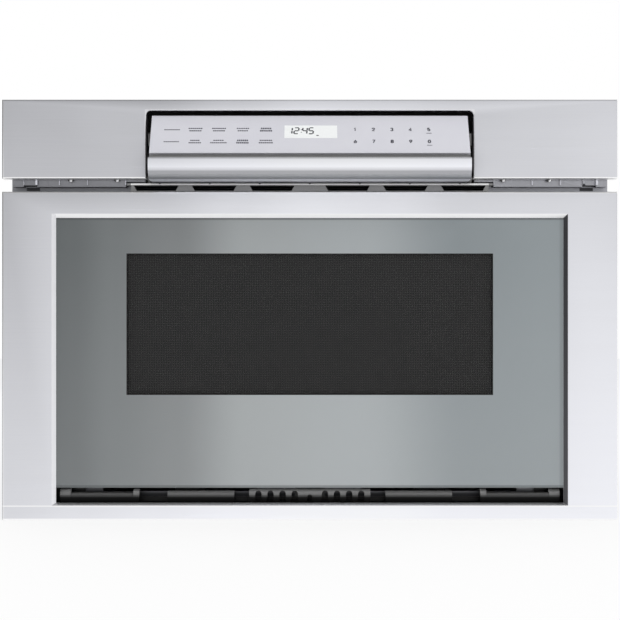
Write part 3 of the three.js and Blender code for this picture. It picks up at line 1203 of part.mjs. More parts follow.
piece("door_frame", doorFrame(), BRUSHED);
piece("door_glass", doorGlass(), finish(0x2c3230, 0.08, 0.2));
piece("window_screen", windowScreen(), finish(0x1b1d1d, 0.5, 0.4));
piece("door_pan", doorPan(), ENAMEL);
piece("choke_cover", chokeCover(), GREY_PLASTIC);
piece("door_grille", doorGrille(), BLACK_PLASTIC);
piece("drawer_box", drawerBox(), ENAMEL);
piece("ceramic_shelf", ceramicShelf(), finish(0xe8e6df, 0.3, 0));
pair("drawer_arm", drawerArm(), ZINC);
pair("latch_hook", latchHook(), WHITE_PLASTIC);

piece("pod_housing", podHousing(), finish(0x4a4c4f, 0.5, 0));
piece("control_glass", controlGlass(), finish(0xd3d3dc, 0.15, 0));
piece("display_board", displayBoard(), finish(0x2f5d3a, 0.5, 0));
piece("nose_cover", noseCover(), BRUSHED);
pair("pod_bracket", podBracket(), GREY_PLASTIC);
piece("pod_catch", podCatch(), BLACK_PLASTIC);

export default drawerUnit;
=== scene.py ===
"""A built-in microwave drawer, photographed straight from the front with its control panel tilted out.

The sections follow the drawer as it is put together: studio, steel cabinet, oven, drive and slides,
drawer front, drawer box and, last, the control panel. Lengths are metres; X right, Y back, Z up.
"""
import math
import bpy
import numpy as np
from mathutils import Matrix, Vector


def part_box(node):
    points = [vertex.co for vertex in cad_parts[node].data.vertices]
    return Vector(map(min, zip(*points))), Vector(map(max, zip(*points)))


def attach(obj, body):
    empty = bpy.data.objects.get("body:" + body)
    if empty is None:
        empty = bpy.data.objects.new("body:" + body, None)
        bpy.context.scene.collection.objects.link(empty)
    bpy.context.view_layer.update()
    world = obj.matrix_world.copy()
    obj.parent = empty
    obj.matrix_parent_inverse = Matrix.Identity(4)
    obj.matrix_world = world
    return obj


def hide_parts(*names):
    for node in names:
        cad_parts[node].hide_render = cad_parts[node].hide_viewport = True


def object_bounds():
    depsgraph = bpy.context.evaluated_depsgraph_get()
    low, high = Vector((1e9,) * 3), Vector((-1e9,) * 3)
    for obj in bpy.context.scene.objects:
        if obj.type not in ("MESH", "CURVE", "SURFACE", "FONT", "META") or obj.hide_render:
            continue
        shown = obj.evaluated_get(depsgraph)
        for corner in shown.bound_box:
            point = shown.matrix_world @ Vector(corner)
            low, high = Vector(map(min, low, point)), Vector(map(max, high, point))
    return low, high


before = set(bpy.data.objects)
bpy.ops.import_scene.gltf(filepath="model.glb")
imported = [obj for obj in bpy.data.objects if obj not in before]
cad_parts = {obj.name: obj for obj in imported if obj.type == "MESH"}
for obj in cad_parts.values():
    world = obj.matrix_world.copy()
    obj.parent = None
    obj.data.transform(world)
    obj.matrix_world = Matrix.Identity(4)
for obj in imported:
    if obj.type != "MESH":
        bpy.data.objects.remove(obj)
cad_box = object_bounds()
MM = 0.001

# -------------------- camera
# A long lens looks level at the middle of the front, from 1.9 m before its plane.
front_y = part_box("door_frame")[0][1]
camera_distance = 1.9
frame_width = 0.6107  # what the picture spans at the front plane
view_centre_z = 0.1943
sensor = 36.0
camera_data = bpy.data.cameras.new("camera")
camera_data.sensor_width = sensor
camera_data.lens = sensor * camera_distance / frame_width
camera = bpy.data.objects.new("camera", camera_data)
camera.location = (0.0002, front_y - camera_distance, view_centre_z)
camera.rotation_euler = (math.pi / 2, 0, 0)
bpy.context.collection.objects.link(camera)
bpy.context.scene.camera = camera
bpy.context.scene.view_settings.view_transform = "Standard"


# -------------------- shader arithmetic
class Wire:
    """A shader socket in Python arithmetic: each operation adds one Math node."""

    def __init__(self, finish, socket):
        self.finish = finish
        self.socket = socket

    def math(self, operation, *values):
        """One Math node on this wire's shader."""
        return self.finish.node("ShaderNodeMath", {"operation": operation}, *values)

    def __add__(self, other):
        return self.math("ADD", self, other)

    def __sub__(self, other):
        return self.math("SUBTRACT", self, other)

    def __rsub__(self, other):
        return self.math("SUBTRACT", other, self)

    def __mul__(self, other):
        return self.math("MULTIPLY", self, other)

    __radd__ = __add__
    __rmul__ = __mul__

    def above(self, edge, soft=0.0002):
        """0 below the edge and 1 above it, over a soft step."""
        return self.finish.node("ShaderNodeMapRange", {"clamp": True}, self, edge - soft, edge + soft)

    def between(self, low, high, soft=0.0002):
        """1 from the low edge to the high one and 0 outside, over soft steps."""
        return self.above(low, soft) * (1 - self.above(high, soft))

    def run(self, low, high, start=0.0, end=1.0, **settings):
        """An even run from start, where the wire is at its low value, to end at its high one."""
        return self.finish.node("ShaderNodeMapRange", settings, self, low, high, start, end)


class Finish:
    """A surface finish: one Principled shader, with nodes added by short calls."""

    def __init__(self, name, color, rough=0.5, metal=0.0, **sockets):
        self.material = bpy.data.materials.new(name)
        self.material.use_nodes = True
        self.tree = self.material.node_tree
        self.shader = self.tree.nodes["Principled BSDF"]
        self.set("Base Color", (*color, 1))
        self.set("Roughness", rough)
        self.set("Metallic", metal)
        for socket, value in sockets.items():
            self.set(socket.replace("_", " "), value)
        self.material.diffuse_color = (*color, 1)

    def set(self, name, value):
        """Gives a socket of the shader a value or a wire."""
        self.put(self.shader.inputs[name], value)

    def vary(self, pattern, low, high, swing=0.0, least=0.0):
        """Runs the base colour from one tone to another with a pattern from 0 to 1. The roughness, where
        a swing is given, is least + pattern * swing."""
        self.set("Base Color", self.blend(pattern, low, high))
        if swing:
            self.set("Roughness", pattern * swing + least)

    def coat(self, color, rough, height=None, depth=0.0):
        """Sets the base colour, the roughness and, where a height is given, a relief."""
        self.set("Base Color", color)
        self.set("Roughness", rough)
        if height:
            self.relief(height, depth)
        return self

    def put(self, socket, value):
        if isinstance(value, Wire):
            self.tree.links.new(value.socket, socket)
        else:
            socket.default_value = value

    def node(self, kind, settings, *values, output=0, **named):
        """Adds a node: its settings first, then the values or wires of its sockets."""
        made = self.tree.nodes.new(kind)
        for key, value in settings.items():
            setattr(made, key, value)
        for socket, value in zip(made.inputs, values):
            self.put(socket, value)
        for key, value in named.items():
            self.put(made.inputs[key.replace("_", " ")], value)
        return Wire(self, made.outputs[output])

    def spot(self, place="Object"):
        """The point on the object, in metres."""
        return self.node("ShaderNodeTexCoord", {}, output=place)

    def axes(self, place="Object"):
        """The point's X, Y and Z, each as a wire."""
        split = self.tree.nodes.new("ShaderNodeSeparateXYZ")
        self.put(split.inputs[0], self.spot(place))
        return [Wire(self, split.outputs[i]) for i in range(3)]

    def ray(self, kind):
        """1 for the rays of one kind and 0 for all others."""
        return self.node("ShaderNodeLightPath", {}, output=f"Is {kind} Ray")

    def noise(self, scale, stretch=(1, 1, 1), detail=3.0):
        """Cloudy noise from 0 to 1; a small stretch factor draws it out along that axis."""
        placed = self.node("ShaderNodeMapping", {}, Vector=self.spot(), Scale=stretch)
        return self.node("ShaderNodeTexNoise", {}, Vector=placed, Scale=scale, Detail=detail)

    def cells(self, scale):
        """A level from 0 to 1 for each cell of a Voronoi pattern, the same all over the cell."""
        cell = self.node("ShaderNodeTexVoronoi", {"feature": "F1"}, output="Color", Vector=self.spot(),
                         Scale=scale)
        return self.node("ShaderNodeTexWhiteNoise", {}, cell)

    def blend(self, factor, first, second, mode="MIX"):
        """Mixes two colours, each a tuple or a wire."""
        mixed = self.tree.nodes.new("ShaderNodeMix")
        mixed.data_type = "RGBA"
        mixed.blend_type = mode
        self.put(mixed.inputs[0], factor)
        for socket, value in zip((mixed.inputs[6], mixed.inputs[7]), (first, second)):
            self.put(socket, value if isinstance(value, Wire) else (*value, 1))
        return Wire(self, mixed.outputs[2])

    def over(self, factor, color):
        """Lays another colour over the base colour by a factor from 0 to 1."""
        socket = self.shader.inputs["Base Color"]
        before = tuple(socket.default_value)[:3]
        if socket.is_linked:
            before = Wire(self, socket.links[0].from_socket)
        self.set("Base Color", self.blend(factor, before, color))

    def paint_highlight(self, factor):
        """Painted highlights on creases, folds and lit edges: nearly white steel."""
        self.over(factor, (0.98, 0.98, 0.99))

    def darken(self, factor):
        """Deep shade: nearly black."""
        self.over(factor, (0.03, 0.03, 0.033))

    def ramp(self, value, *stops):
        """A smooth run of colours along a value; each stop is a place from 0 to 1 and a colour."""
        made = self.tree.nodes.new("ShaderNodeValToRGB")
        made.color_ramp.interpolation = "EASE"
        points = made.color_ramp.elements
        while len(points) < len(stops):
            points.new(0.5)
        for point, (place, color) in zip(points, stops):
            point.position = place
            point.color = (*color, 1)
        self.put(made.inputs[0], value)
        return Wire(self, made.outputs[0])

    def levels(self, value, *stops):
        """The same smooth run for plain levels in place of colours."""
        return self.ramp(value, *((place, (level,) * 3) for place, level in stops))

    def relief(self, height, depth):
        """Bumps the surface by a height from 0 to 1 over a depth in metres."""
        bump = self.node("ShaderNodeBump", {}, Strength=0.6, Distance=depth, Height=height)
        self.set("Normal", bump)


def grey(level):
    """A neutral colour as it is seen: 0 to 1 in display values, made linear."""
    return (level ** 2.2,) * 3


def tint(red, green, blue):
    """A colour in display values from 0 to 255, made linear."""
    return tuple((value / 255) ** 2.2 for value in (red, green, blue))


def mottled(name, color, low, high, grain, swing=0.0, least=0.0, detail=3.0, stretch=(1, 1, 1), **settings):
    """A finish whose colour runs between two tones with one noise pattern; the roughness as in vary."""
    skin = Finish(name, color, **settings)
    skin.vary(skin.noise(grain, stretch, detail), low, high, swing, least)
    return skin


# -------------------- studio
# A white sweep, one broad lamp overhead and one in front; the room is darker on the left and above,
# which gives steel and glass their soft shading. Steel and glass see the same room.
world = bpy.data.worlds.new("studio")
world.use_nodes = True
bpy.context.scene.world = world


class Room(Finish):
    """The world's shader, written with the same calls as a finish."""

    def __init__(self, tree):
        self.tree = tree


room = Room(world.node_tree)
background = world.node_tree.nodes["Background"]
side, _, up = room.axes("Generated")
from_left = side.run(-0.9, 0.15, 0.16, 1.0, interpolation_type="SMOOTHSTEP")
from_above = up.run(-0.25, 0.7, 1.0, 0.42, interpolation_type="SMOOTHSTEP")
shade = from_left * from_above * 1.23
diffuse = room.ray("Diffuse")
shade = diffuse * 0.62 + (1 - diffuse) * shade
seen_plainly = room.ray("Camera")
shade = seen_plainly + (1 - seen_plainly) * shade
room.put(background.inputs["Strength"], shade)
background.inputs["Color"].default_value = (1, 1, 1, 1)


def softbox(name, place, aim, width, height, power):
    """A flat lamp that looks at a point."""
    data = bpy.data.lights.new(name, "AREA")
    data.shape = "RECTANGLE"
    data.size = width
    data.size_y = height
    data.energy = power
    lamp = bpy.data.objects.new(name, data)
    lamp.location = place
    away = np.subtract(place, aim)
    tilt = math.acos(away[2] / np.linalg.norm(away))
    lamp.rotation_euler = (tilt, 0, math.atan2(away[1], away[0]) + math.pi / 2)
    lamp.visible_camera = False
    lamp.visible_glossy = False
    bpy.context.collection.objects.link(lamp)


softbox("key", (0.9, -2.2, 1.7), (0, front_y, 0.2), 1.6, 1.2, 26)
softbox("top", (-0.2, -0.3, 2.2), (0, 0, 0.2), 2.0, 2.0, 14)
softbox("rear", (-0.8, 2.4, 1.4), (0, 0.2, 0.2), 1.4, 1.2, 16)

floor_z = cad_box[0][2] - 0.3 * MM
floor_data = bpy.data.meshes.new("floor")
floor_data.from_pydata([(x, y, floor_z) for x, y in ((-6, -6), (6, -6), (6, 6), (-6, 6))], [], [(0, 1, 2, 3)])
floor = bpy.data.objects.new("floor", floor_data)
bpy.context.collection.objects.link(floor)
paper = Finish("white_paper", grey(0.93), rough=0.9)
paper_glow = paper.node("ShaderNodeEmission", {}, Strength=1.0)
paper_seen = paper.ray("Camera") * 0.82 + paper.ray("Glossy")
paper_mix = paper.node("ShaderNodeMixShader", {}, paper_seen, Wire(paper, paper.shader.outputs[0]), paper_glow)
paper.put(paper.tree.nodes["Material Output"].inputs["Surface"], paper_mix)
floor_data.materials.append(paper.material)

# -------------------- cabinet shell
# Panels of galvanised sheet, bent at their edges and screwed together: base, sides, top and back.
# The zinc has large pale crystals and a dull, slightly streaked skin.
def zinc_sheet(name, tone=0.66, lit_right_tone=None):
    """Galvanised sheet: crystals of a few centimetres, fine streaks and small scuffs. Its tone may run
    evenly to another one across the width: painted shading, lighter towards the right where more light falls."""
    skin = Finish(name, grey(tone), rough=0.42, metal=0.85)
    streak = skin.noise(260, stretch=(0.05, 1, 1))
    shade = skin.cells(55.0) * 0.4 + skin.noise(18, detail=5) * 0.4 + streak * 0.2
    zinc = skin.blend(shade, zinc_tone(tone * 0.86), zinc_tone(tone * 1.1))
    if lit_right_tone:
        lit_right_zinc = skin.blend(shade, zinc_tone(lit_right_tone * 0.86), zinc_tone(lit_right_tone * 1.1))
        zinc = skin.blend(skin.axes()[0].run(cad_box[0][0], cad_box[1][0]), zinc, lit_right_zinc)
    return skin.coat(zinc, shade * 0.22 + 0.3, streak, 0.00008)


def zinc_tone(level):
    """The faintly blue grey of zinc."""
    return tint(level * 253, level * 254, level * 262)


def dress(finish, *nodes):
    """Gives CAD nodes a finish."""
    for node in nodes:
        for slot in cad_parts[node].material_slots:
            slot.material = finish.material


def both(name):
    """The right and the left one of a pair of nodes."""
    return name + "_right", name + "_left"


shell_zinc = zinc_sheet("shell_zinc")
dress(shell_zinc, "base_plate", "top_panel", "back_panel", *both("side_panel"))


def mesh_piece(name, points, faces, finish, body, slot, sharp=32):
    """A smooth-shaded mesh from point and face lists, sharp where faces meet at over `sharp` degrees."""
    data = bpy.data.meshes.new(name)
    data.from_pydata(np.asarray(points, float).tolist(), [], [list(map(int, face)) for face in faces])
    data.validate()
    data.shade_smooth()
    data.set_sharp_from_angle(angle=math.radians(sharp))
    data.materials.append(finish.material)
    made = bpy.data.objects.new(name, data)
    bpy.context.collection.objects.link(made)
    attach(made, body)
    return made


def quads(rows, columns, wrap_rows=False, wrap_columns=False):
    """The faces of a grid of points, row by row, closed round in either direction if asked."""
    row = np.arange(rows if wrap_rows else rows - 1)[:, None]
    column = np.arange(columns if wrap_columns else columns - 1)[None, :]
    next_row = (row + 1) % rows
    next_column = (column + 1) % columns
    corners = (row * columns + column, row * columns + next_column,
               next_row * columns + next_column, next_row * columns + column)
    return np.stack([np.broadcast_to(c, (row.size, column.size)) for c in corners], axis=-1).reshape(-1, 4)


def capped(rings, count):
    """The faces of a tube of rings of points, and a face over each end."""
    sides = quads(rings, count, wrap_columns=True)
    return [*sides, range(count)[::-1], range((rings - 1) * count, rings * count)]


def spokes(axis, sides):
    """The unit vectors cos a * u + sin a * v round an axis, where u and v are square to it."""
    u = np.cross(axis, (0.0, 0.0, 1.0) if abs(axis[2]) < 0.9 else (1.0, 0.0, 0.0))
    u /= np.linalg.norm(u)
    v = np.cross(axis, u)
    angle = np.linspace(0, 2 * math.pi, sides, endpoint=False)
    return np.cos(angle)[:, None] * u + np.sin(angle)[:, None] * v


def turned(profile, centre, axis, sides=24):
    """A profile of (radius, distance along the axis) turned about an axis through the centre:
    a point is centre + radius * spoke + distance * axis."""
    radius, distance = np.asarray(profile, float).T
    rings = centre + radius[:, None, None] * spokes(axis, sides) + distance[:, None, None] * np.array(axis)
    return rings.reshape(-1, 3), quads(len(profile), sides, wrap_columns=True)


def together(*shapes):
    """Joins point and face arrays into one pair."""
    points, faces, first = [], [], 0
    for shape_points, shape_faces in shapes:
        points.append(shape_points)
        faces += [tuple(np.asarray(face) + first) for face in shape_faces]
        first += len(shape_points)
    return np.concatenate(points), faces


def screw_head(place, axis, radius=3.2 * MM, height=1.9 * MM):
    """A pan head with a cross recess: a dome whose crown is cut by four tapered flutes.
    The dome's height at radius r is height * sqrt(1 - (r / rim)^2 * 0.6), less the flutes' depth."""
    sides = 24
    share = np.array([1.0, 1.0, 0.93, 0.8, 0.62, 0.45, 0.28, 0.12])
    rise = height * np.sqrt(1 - share ** 2 * 0.6)
    rise[0] = 0
    angle = np.arange(sides) * 2 * math.pi / sides
    flute = np.clip(np.cos(4 * angle) * 1.6, 0, 1)[None, :] * (share < 0.6)[:, None] + (share < 0.2)[:, None]
    depth = rise[:, None] - np.clip(flute, 0, 1) * height * 0.75
    outwards = (share * radius)[:, None, None] * spokes(axis, sides)
    points = place + outwards + depth[:, :, None] * np.array(axis)
    faces = capped(len(share), sides)
    del faces[-2]  # the dome is open underneath
    return points.reshape(-1, 3), faces


# Cross-head screws hold the panels: along the rear edges, the top edges and low on the sides.
screw_steel = mottled("screw_steel", grey(0.7), grey(0.55), grey(0.8), 900, 0.25, 0.2, 4, rough=0.3, metal=1.0)
side_low, side_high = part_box("side_panel_right")
back_low, back_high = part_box("back_panel")
top_high_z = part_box("top_panel")[1][2]
edge_inset = 8 * MM
shell_screws = []
for x in (back_low[0] + edge_inset, 0.0, back_high[0] - edge_inset):
    for z in (back_low[2] + edge_inset, back_high[2] - edge_inset):
        shell_screws.append(screw_head((x, back_high[1], z), (0, 1, 0)))
for sign in (-1, 1):
    for y in np.linspace(side_low[1] + 0.1, side_high[1] - 0.03, 4):
        shell_screws.append(screw_head((sign * side_high[0], y, 0.012), (sign, 0, 0)))
        shell_screws.append(screw_head((sign * (side_high[0] - edge_inset), y, top_high_z), (0, 0, 1)))
mesh_piece("shell_screws", *together(*shell_screws), screw_steel, "cabinet", "slide_steel")

# The mains lead leaves through a moulded gland in the back panel.
def moulded(name, color, rough=0.5, grain=2600):
    """Injection-moulded plastic: an even, finely spark-eroded skin with faint flow shading."""
    skin = Finish(name, color, rough=rough)
    pebble = skin.noise(grain, detail=2)
    flow = skin.noise(14, stretch=(0.5, 1, 1), detail=2)
    low = tuple(channel * 0.8 for channel in color)
    high = tuple(min(1.0, channel * 1.15 + 0.004) for channel in color)
    mottle = skin.blend(pebble * 0.45 + flow * 0.55, low, high)
    return skin.coat(mottle, pebble * 0.2 + (rough - 0.1), pebble, 0.00005)


black_nylon = moulded("black_nylon", grey(0.11), rough=0.48)
dress(black_nylon, "cord_gland")

# -------------------- front flange
# A thicker plate behind the front, hemmed at its rim. It bears on the face of the kitchen cabinet and
# is screwed to it. Satin, slightly darker than the zinc shell.
flange_steel = Finish("flange_steel", grey(0.62), rough=0.38, metal=0.9)
flange_grain = flange_steel.noise(500, stretch=(0.03, 1, 1))
flange_x, _, flange_z = flange_steel.axes()
# The flange's tone runs from a darker left to a lighter right: painted shading as the light falls.
flange_shaded_sides = [flange_steel.blend(flange_grain, zinc_tone(low), zinc_tone(high))
                for low, high in ((0.47, 0.66), (0.63, 0.80))]
flange_steel.coat(flange_steel.blend(flange_x.run(cad_box[0][0], cad_box[1][0]), *flange_shaded_sides),
                  flange_grain * 0.2 + 0.3, flange_grain, 0.00005)
vent_reach = 180 * MM  # from the middle, what lies in the shade of the vents
vent_z = (300 * MM, 320.5 * MM)
notch_span = (271.5 * MM, 285 * MM)  # the notches near the ends of the carrier
notch_z = (314 * MM, 320 * MM)
slot_top = 12.5 * MM
# Painted shade: the flange is darkened nearly to black where it lies deep behind the vents, the air slot and
# the carrier's notches.
behind_vents = flange_x.between(-vent_reach, vent_reach) * flange_z.between(*vent_z)
behind_slot = 1 - flange_z.above(slot_top, 3 * MM)
left_notch = flange_x.between(-notch_span[1], -notch_span[0])
behind_notches = flange_z.between(*notch_z) * (left_notch + flange_x.between(*notch_span))
flange_steel.darken(behind_vents * 0.95 + behind_slot * 0.96 + behind_notches * 0.9)
dress(flange_steel, "front_flange")

# -------------------- oven cavity
# A welded box of enamelled steel with a sunk well for the antenna. The enamel is warm grey with fine
# pale and dark flecks, a soft orange-peel surface and a glassy gloss.
oven_enamel = Finish("oven_enamel", grey(0.72), rough=0.3, Coat_Weight=0.5, Coat_Roughness=0.12)
fleck = oven_enamel.noise(2400, detail=1)
peel = oven_enamel.noise(260, detail=2)
stain = oven_enamel.noise(9, detail=4)
speckled = oven_enamel.blend(fleck.above(0.62, 0.02), grey(0.73), grey(0.86))
speckled = oven_enamel.blend((1 - fleck).above(0.63, 0.02), speckled, grey(0.5))
oven_enamel.coat(oven_enamel.blend(stain * 0.3, speckled, grey(0.62)), peel * 0.15 + 0.22, peel, 0.0001)
dress(oven_enamel, "oven_cavity", "drawer_box")

# -------------------- microwave source
# Magnetron on a waveguide, with its transformer and capacitor; the antenna turns in the well on a
# small motor. Pressed aluminium fins, varnished windings and laminated core.
plain_zinc = zinc_sheet("plain_zinc", tone=0.7)
dress(plain_zinc, "waveguide", "magnetron", "antenna_motor", "shaft_carrier", "high_voltage_capacitor")
dress(mottled("antenna_skin", grey(0.8), grey(0.7), grey(0.86), 420, 0.25, 0.2, rough=0.3, metal=1.0),
      "antenna")

transformer_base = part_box("high_voltage_transformer")[0][2]
transformer_steel = Finish("transformer_steel", grey(0.3), rough=0.5, metal=0.6)
stack_z = transformer_steel.axes()[2]
lamination_pitch = 1.6 * MM
lamination = transformer_steel.node("ShaderNodeMath", {"operation": "SINE"},
                                    stack_z * (2 * math.pi / lamination_pitch))
varnish = transformer_steel.noise(60, detail=4)
winding_band = sum(stack_z.between(transformer_base + low * MM, transformer_base + high * MM)
                   for low, high in ((8, 32), (35, 59)))
wound = transformer_steel.blend(winding_band * 0.5, grey(0.38), tint(140, 78, 40))
transformer_steel.set("Base Color", transformer_steel.blend(lamination * 0.2 + varnish * 0.6, grey(0.2), wound))
transformer_steel.relief(lamination, 0.0002)
dress(transformer_steel, "high_voltage_transformer")

# -------------------- blower and exhaust
# A moulded scroll with a squirrel-cage wheel and its motor draws air through the cabinet; it leaves
# through the duct over the cavity and the vents above the drawer front.
dress(moulded("scroll_plastic", grey(0.42)), "blower_housing")
# The duct is dressed dark grey as painted shade: it lies in shadow above the cavity.
dress(moulded("duct_painted_shade", grey(0.13), rough=0.55), "exhaust_duct")
dress(black_nylon, "blower_wheel")
dress(mottled("motor_steel", grey(0.33), grey(0.24), grey(0.42), 120, 0.3, 0.28, 5, rough=0.4, metal=0.8),
      "blower_motor", "drive_gearmotor", "drive_shaft")

# -------------------- boards and lamp
# Lacquered circuit boards with their parts: black relays, silver cans, cream plugs.
def circuit_board(name, face_axis, face_low, face_high):
    """Green lacquer between two levels of one axis; what stands over it is black, silver or cream."""
    skin = Finish(name, tint(32, 78, 48), rough=0.35, Coat_Weight=0.3)
    axes = skin.axes()
    on_board = axes[face_axis].between(face_low, face_high, 0.0001)
    trace = skin.noise(330, stretch=(1, 0.25, 1), detail=1).above(0.56, 0.01)
    lacquer = skin.blend(trace, tint(28, 74, 44), tint(62, 118, 66))
    kind = skin.cells(38.0)
    parts = skin.blend(kind.above(0.6, 0.01), grey(0.12), grey(0.55))
    parts = skin.blend(kind.above(0.85, 0.01), parts, tint(222, 212, 188))
    skin.set("Base Color", skin.blend(on_board, parts, lacquer))
    skin.relief(trace, 0.00006)
    return skin


board_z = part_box("control_board")[0][2]
dress(circuit_board("board_lacquer", 2, board_z + 7.5 * MM, board_z + 9.8 * MM), "control_board")
filter_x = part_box("noise_filter")[0][0]
dress(circuit_board("filter_lacquer", 0, filter_x + 8.5 * MM, filter_x + 10.8 * MM), "noise_filter")
dress(circuit_board("display_lacquer", 1, -1.0, 0.0), "display_board")
white_acetal = moulded("white_acetal", tint(222, 219, 208), rough=0.42)
dress(white_acetal, "oven_lamp", *both("switch_housing"), *both("latch_hook"))

# -------------------- slides and drive
# Zinc-plated full-extension slides with ball cages, screwed to the sides. A gearmotor turns a cross
# shaft whose acetal pinions drive a rack on each side of the drawer.
slide_zinc = Finish("slide_zinc", grey(0.74), rough=0.25, metal=1.0)
drawn = slide_zinc.noise(700, stretch=(1, 0.02, 1))
blush = slide_zinc.noise(25, detail=4)
slide_zinc.coat(slide_zinc.blend(drawn * 0.6 + blush * 0.4, grey(0.62), tint(205, 207, 200)),
                drawn * 0.2 + 0.16, drawn, 0.00004)
dress(slide_zinc, *both("slide_outer"), *both("slide_middle"), *both("slide_inner"), *both("drawer_arm"))
dress(white_acetal, *both("rack"), "drive_pinion", "drive_gear")
dress(mottled("gear_brass", tint(196, 164, 96), tint(170, 138, 74), tint(214, 184, 118), 900, 0.2, 0.2,
              stretch=(0.05, 1, 1), rough=0.3, metal=1.0), "motor_pinion")

# Ball cages ride between the slide members: a thin strip each side of a row of steel balls.
slide_low, slide_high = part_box("slide_middle_right")
ball_radius = 1.35 * MM
ball_pitch = 9 * MM
ball_inset = 0.95 * MM  # from the edge of the middle member to a ball's middle
race_x = (slide_low[0] + slide_high[0]) / 2 - 1.2 * MM


def ball(centre, sides=10):
    """A steel ball: half-circle points (sin t, cos t) turned about the slide's axis."""
    t = np.linspace(0.02, math.pi - 0.02, 7)
    profile = ball_radius * np.stack([np.sin(t), -np.cos(t)], axis=1)
    return turned(profile, centre, (0, 1, 0), sides)


for name, sign in (("right", 1), ("left", -1)):
    rows_of_balls = []
    for level in (slide_high[2] - ball_inset, slide_low[2] + ball_inset):
        for y in np.arange(slide_low[1] + 0.02, slide_low[1] + 0.2, ball_pitch):
            rows_of_balls.append(ball((sign * race_x, y, level)))
    balls = mesh_piece("slide_balls_" + name, *together(*rows_of_balls), screw_steel,
                       "slide_middle_member_" + name, "slide_steel", sharp=80)
    balls.data.flip_normals()

# -------------------- fascia
# Brushed stainless trim above the drawer, folded back at every edge, with an open-bottomed cut-out for
# the control panel. The grain runs across; the folds are tight radii, and the thin lines of light along them
# are painted highlights.
def steel_tone(level):
    """Stainless steel as it is seen: a grey with a trace of blue."""
    return tint(level * 253, level * 254, min(level * 260, 255))


def brushed_steel(name, top_shading_tones, bottom_shading_tones, low_z, high_z):
    """Cross-brushed stainless steel: long fine streaks and slow cloudy shading over a tone that runs
    across the width in even steps, one row of tones for the upper edge and one for the lower. These rows
    are painted light and shade: the steel's reflections of the room, set into its base colour."""
    skin = Finish(name, steel_tone(top_shading_tones[len(top_shading_tones) // 2]), rough=0.3, metal=1.0)
    fine = skin.noise(1100, stretch=(0.012, 1, 1), detail=2)
    coarse = skin.noise(240, stretch=(0.02, 1, 1), detail=3)
    cloud = skin.noise(5.5, detail=2)
    x, _, z = skin.axes()
    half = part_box("door_frame")[1][0]
    places = np.linspace(0, 1, len(top_shading_tones))
    across = x.run(-half, half)
    high, low = [skin.ramp(across, *zip(places, map(steel_tone, tones))) for tones in (top_shading_tones, bottom_shading_tones)]
    base = skin.blend(z.run(high_z, low_z), high, low)
    streaked = skin.blend(fine * 0.5 + coarse * 0.35 + cloud * 0.15, tint(0, 0, 6), tint(255, 255, 255))
    return skin.coat(skin.blend(0.22, base, streaked, "SOFT_LIGHT"), fine * 0.16 + coarse * 0.1 + 0.2,
                     fine, 0.00002)


def mitres(path):
    """For a closed path of (x, z) points, the inward step at each point: the two edge normals added
    and stretched so that a step of 1 keeps every edge 1 inside its line."""
    along = np.roll(path, -1, axis=0) - path
    along /= np.linalg.norm(along, axis=1)[:, None]
    normal = np.stack([-along[:, 1], along[:, 0]], axis=1)
    before = np.roll(normal, 1, axis=0)
    return (before + normal) / (1 + np.sum(before * normal, axis=1))[:, None]


def folded_sheet(path, front, back, radius, thickness):
    """A sheet whose edge is folded back: the path (anticlockwise seen from the front) is carried from
    the back edge over a quarter circle of the given radius to the flat front, and then the same inside.
    Depth and inset at angle a round the fold are r (1 - sin a) and r (1 - cos a)."""
    path = np.asarray(path, float)
    step = mitres(path)
    turn = np.linspace(0, math.pi / 2, 6)
    inner = max(radius - thickness, 0.1 * MM)
    outside = [(0.0, back)] + list(zip(radius * (1 - np.cos(turn)), front + radius * (1 - np.sin(turn))))
    inside = [(thickness, back)] + list(zip(thickness + inner * (1 - np.cos(turn)),
                                            front + thickness + inner * (1 - np.sin(turn))))
    rings = [np.insert(path + step * inset, 1, y, axis=1) for inset, y in outside[::-1] + inside]
    return np.concatenate(rings), capped(len(rings), len(path))


def outward(piece):
    """Merges doubled points and turns every face of a closed mesh outwards."""
    import bmesh
    work = bmesh.new()
    work.from_mesh(piece.data)
    bmesh.ops.remove_doubles(work, verts=work.verts, dist=1e-7)
    bmesh.ops.recalc_face_normals(work, faces=work.faces)
    work.to_mesh(piece.data)
    work.free()
    piece.data.set_sharp_from_angle(angle=math.radians(32))
    return piece


def arc(centre, radii, start, end, count=7):
    """Points on an ellipse from one angle to another, in degrees: centre + (r cos a, s sin a)."""
    angle = np.radians(np.linspace(start, end, count))
    return [(centre[0] + radii[0] * math.cos(a), centre[1] + radii[1] * math.sin(a)) for a in angle]


def left_edge(x, low_x):
    """The folded left edge as the light finds it: a dim line 0.8 mm wide and a bright one beside it."""
    return (1 - x.above(low_x + 0.8 * MM)) * 0.4, x.between(low_x + 0.9 * MM, low_x + 1.9 * MM) * 0.4


fascia_low, fascia_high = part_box("fascia")
notch_half = 161 * MM
notch_top = fascia_high[2] - 11.1 * MM
notch_corner = 4.5 * MM
sheet = 1.2 * MM
fold = 1.5 * MM
# Painted light and shade in the rows of tones: the fascia lighter and darker across its width as the room's
# light falls.
fascia_steel = brushed_steel(
    "fascia_steel", (0.875, 0.83, 0.79, 0.87, 0.915, 0.89, 0.86, 0.875, 0.89),
    (0.81, 0.79, 0.79, 0.85, 0.90, 0.88, 0.855, 0.84, 0.855), fascia_low[2], fascia_high[2])
fascia_x, _, fascia_z = fascia_steel.axes()
near_notch = fascia_x.between(-notch_half - fold, notch_half + fold) * (1 - fascia_z.above(notch_top + fold))
near_bottom = 1 - fascia_z.above(fascia_low[2] + fold)
dim_line, bright_line = left_edge(fascia_x, fascia_low[0])
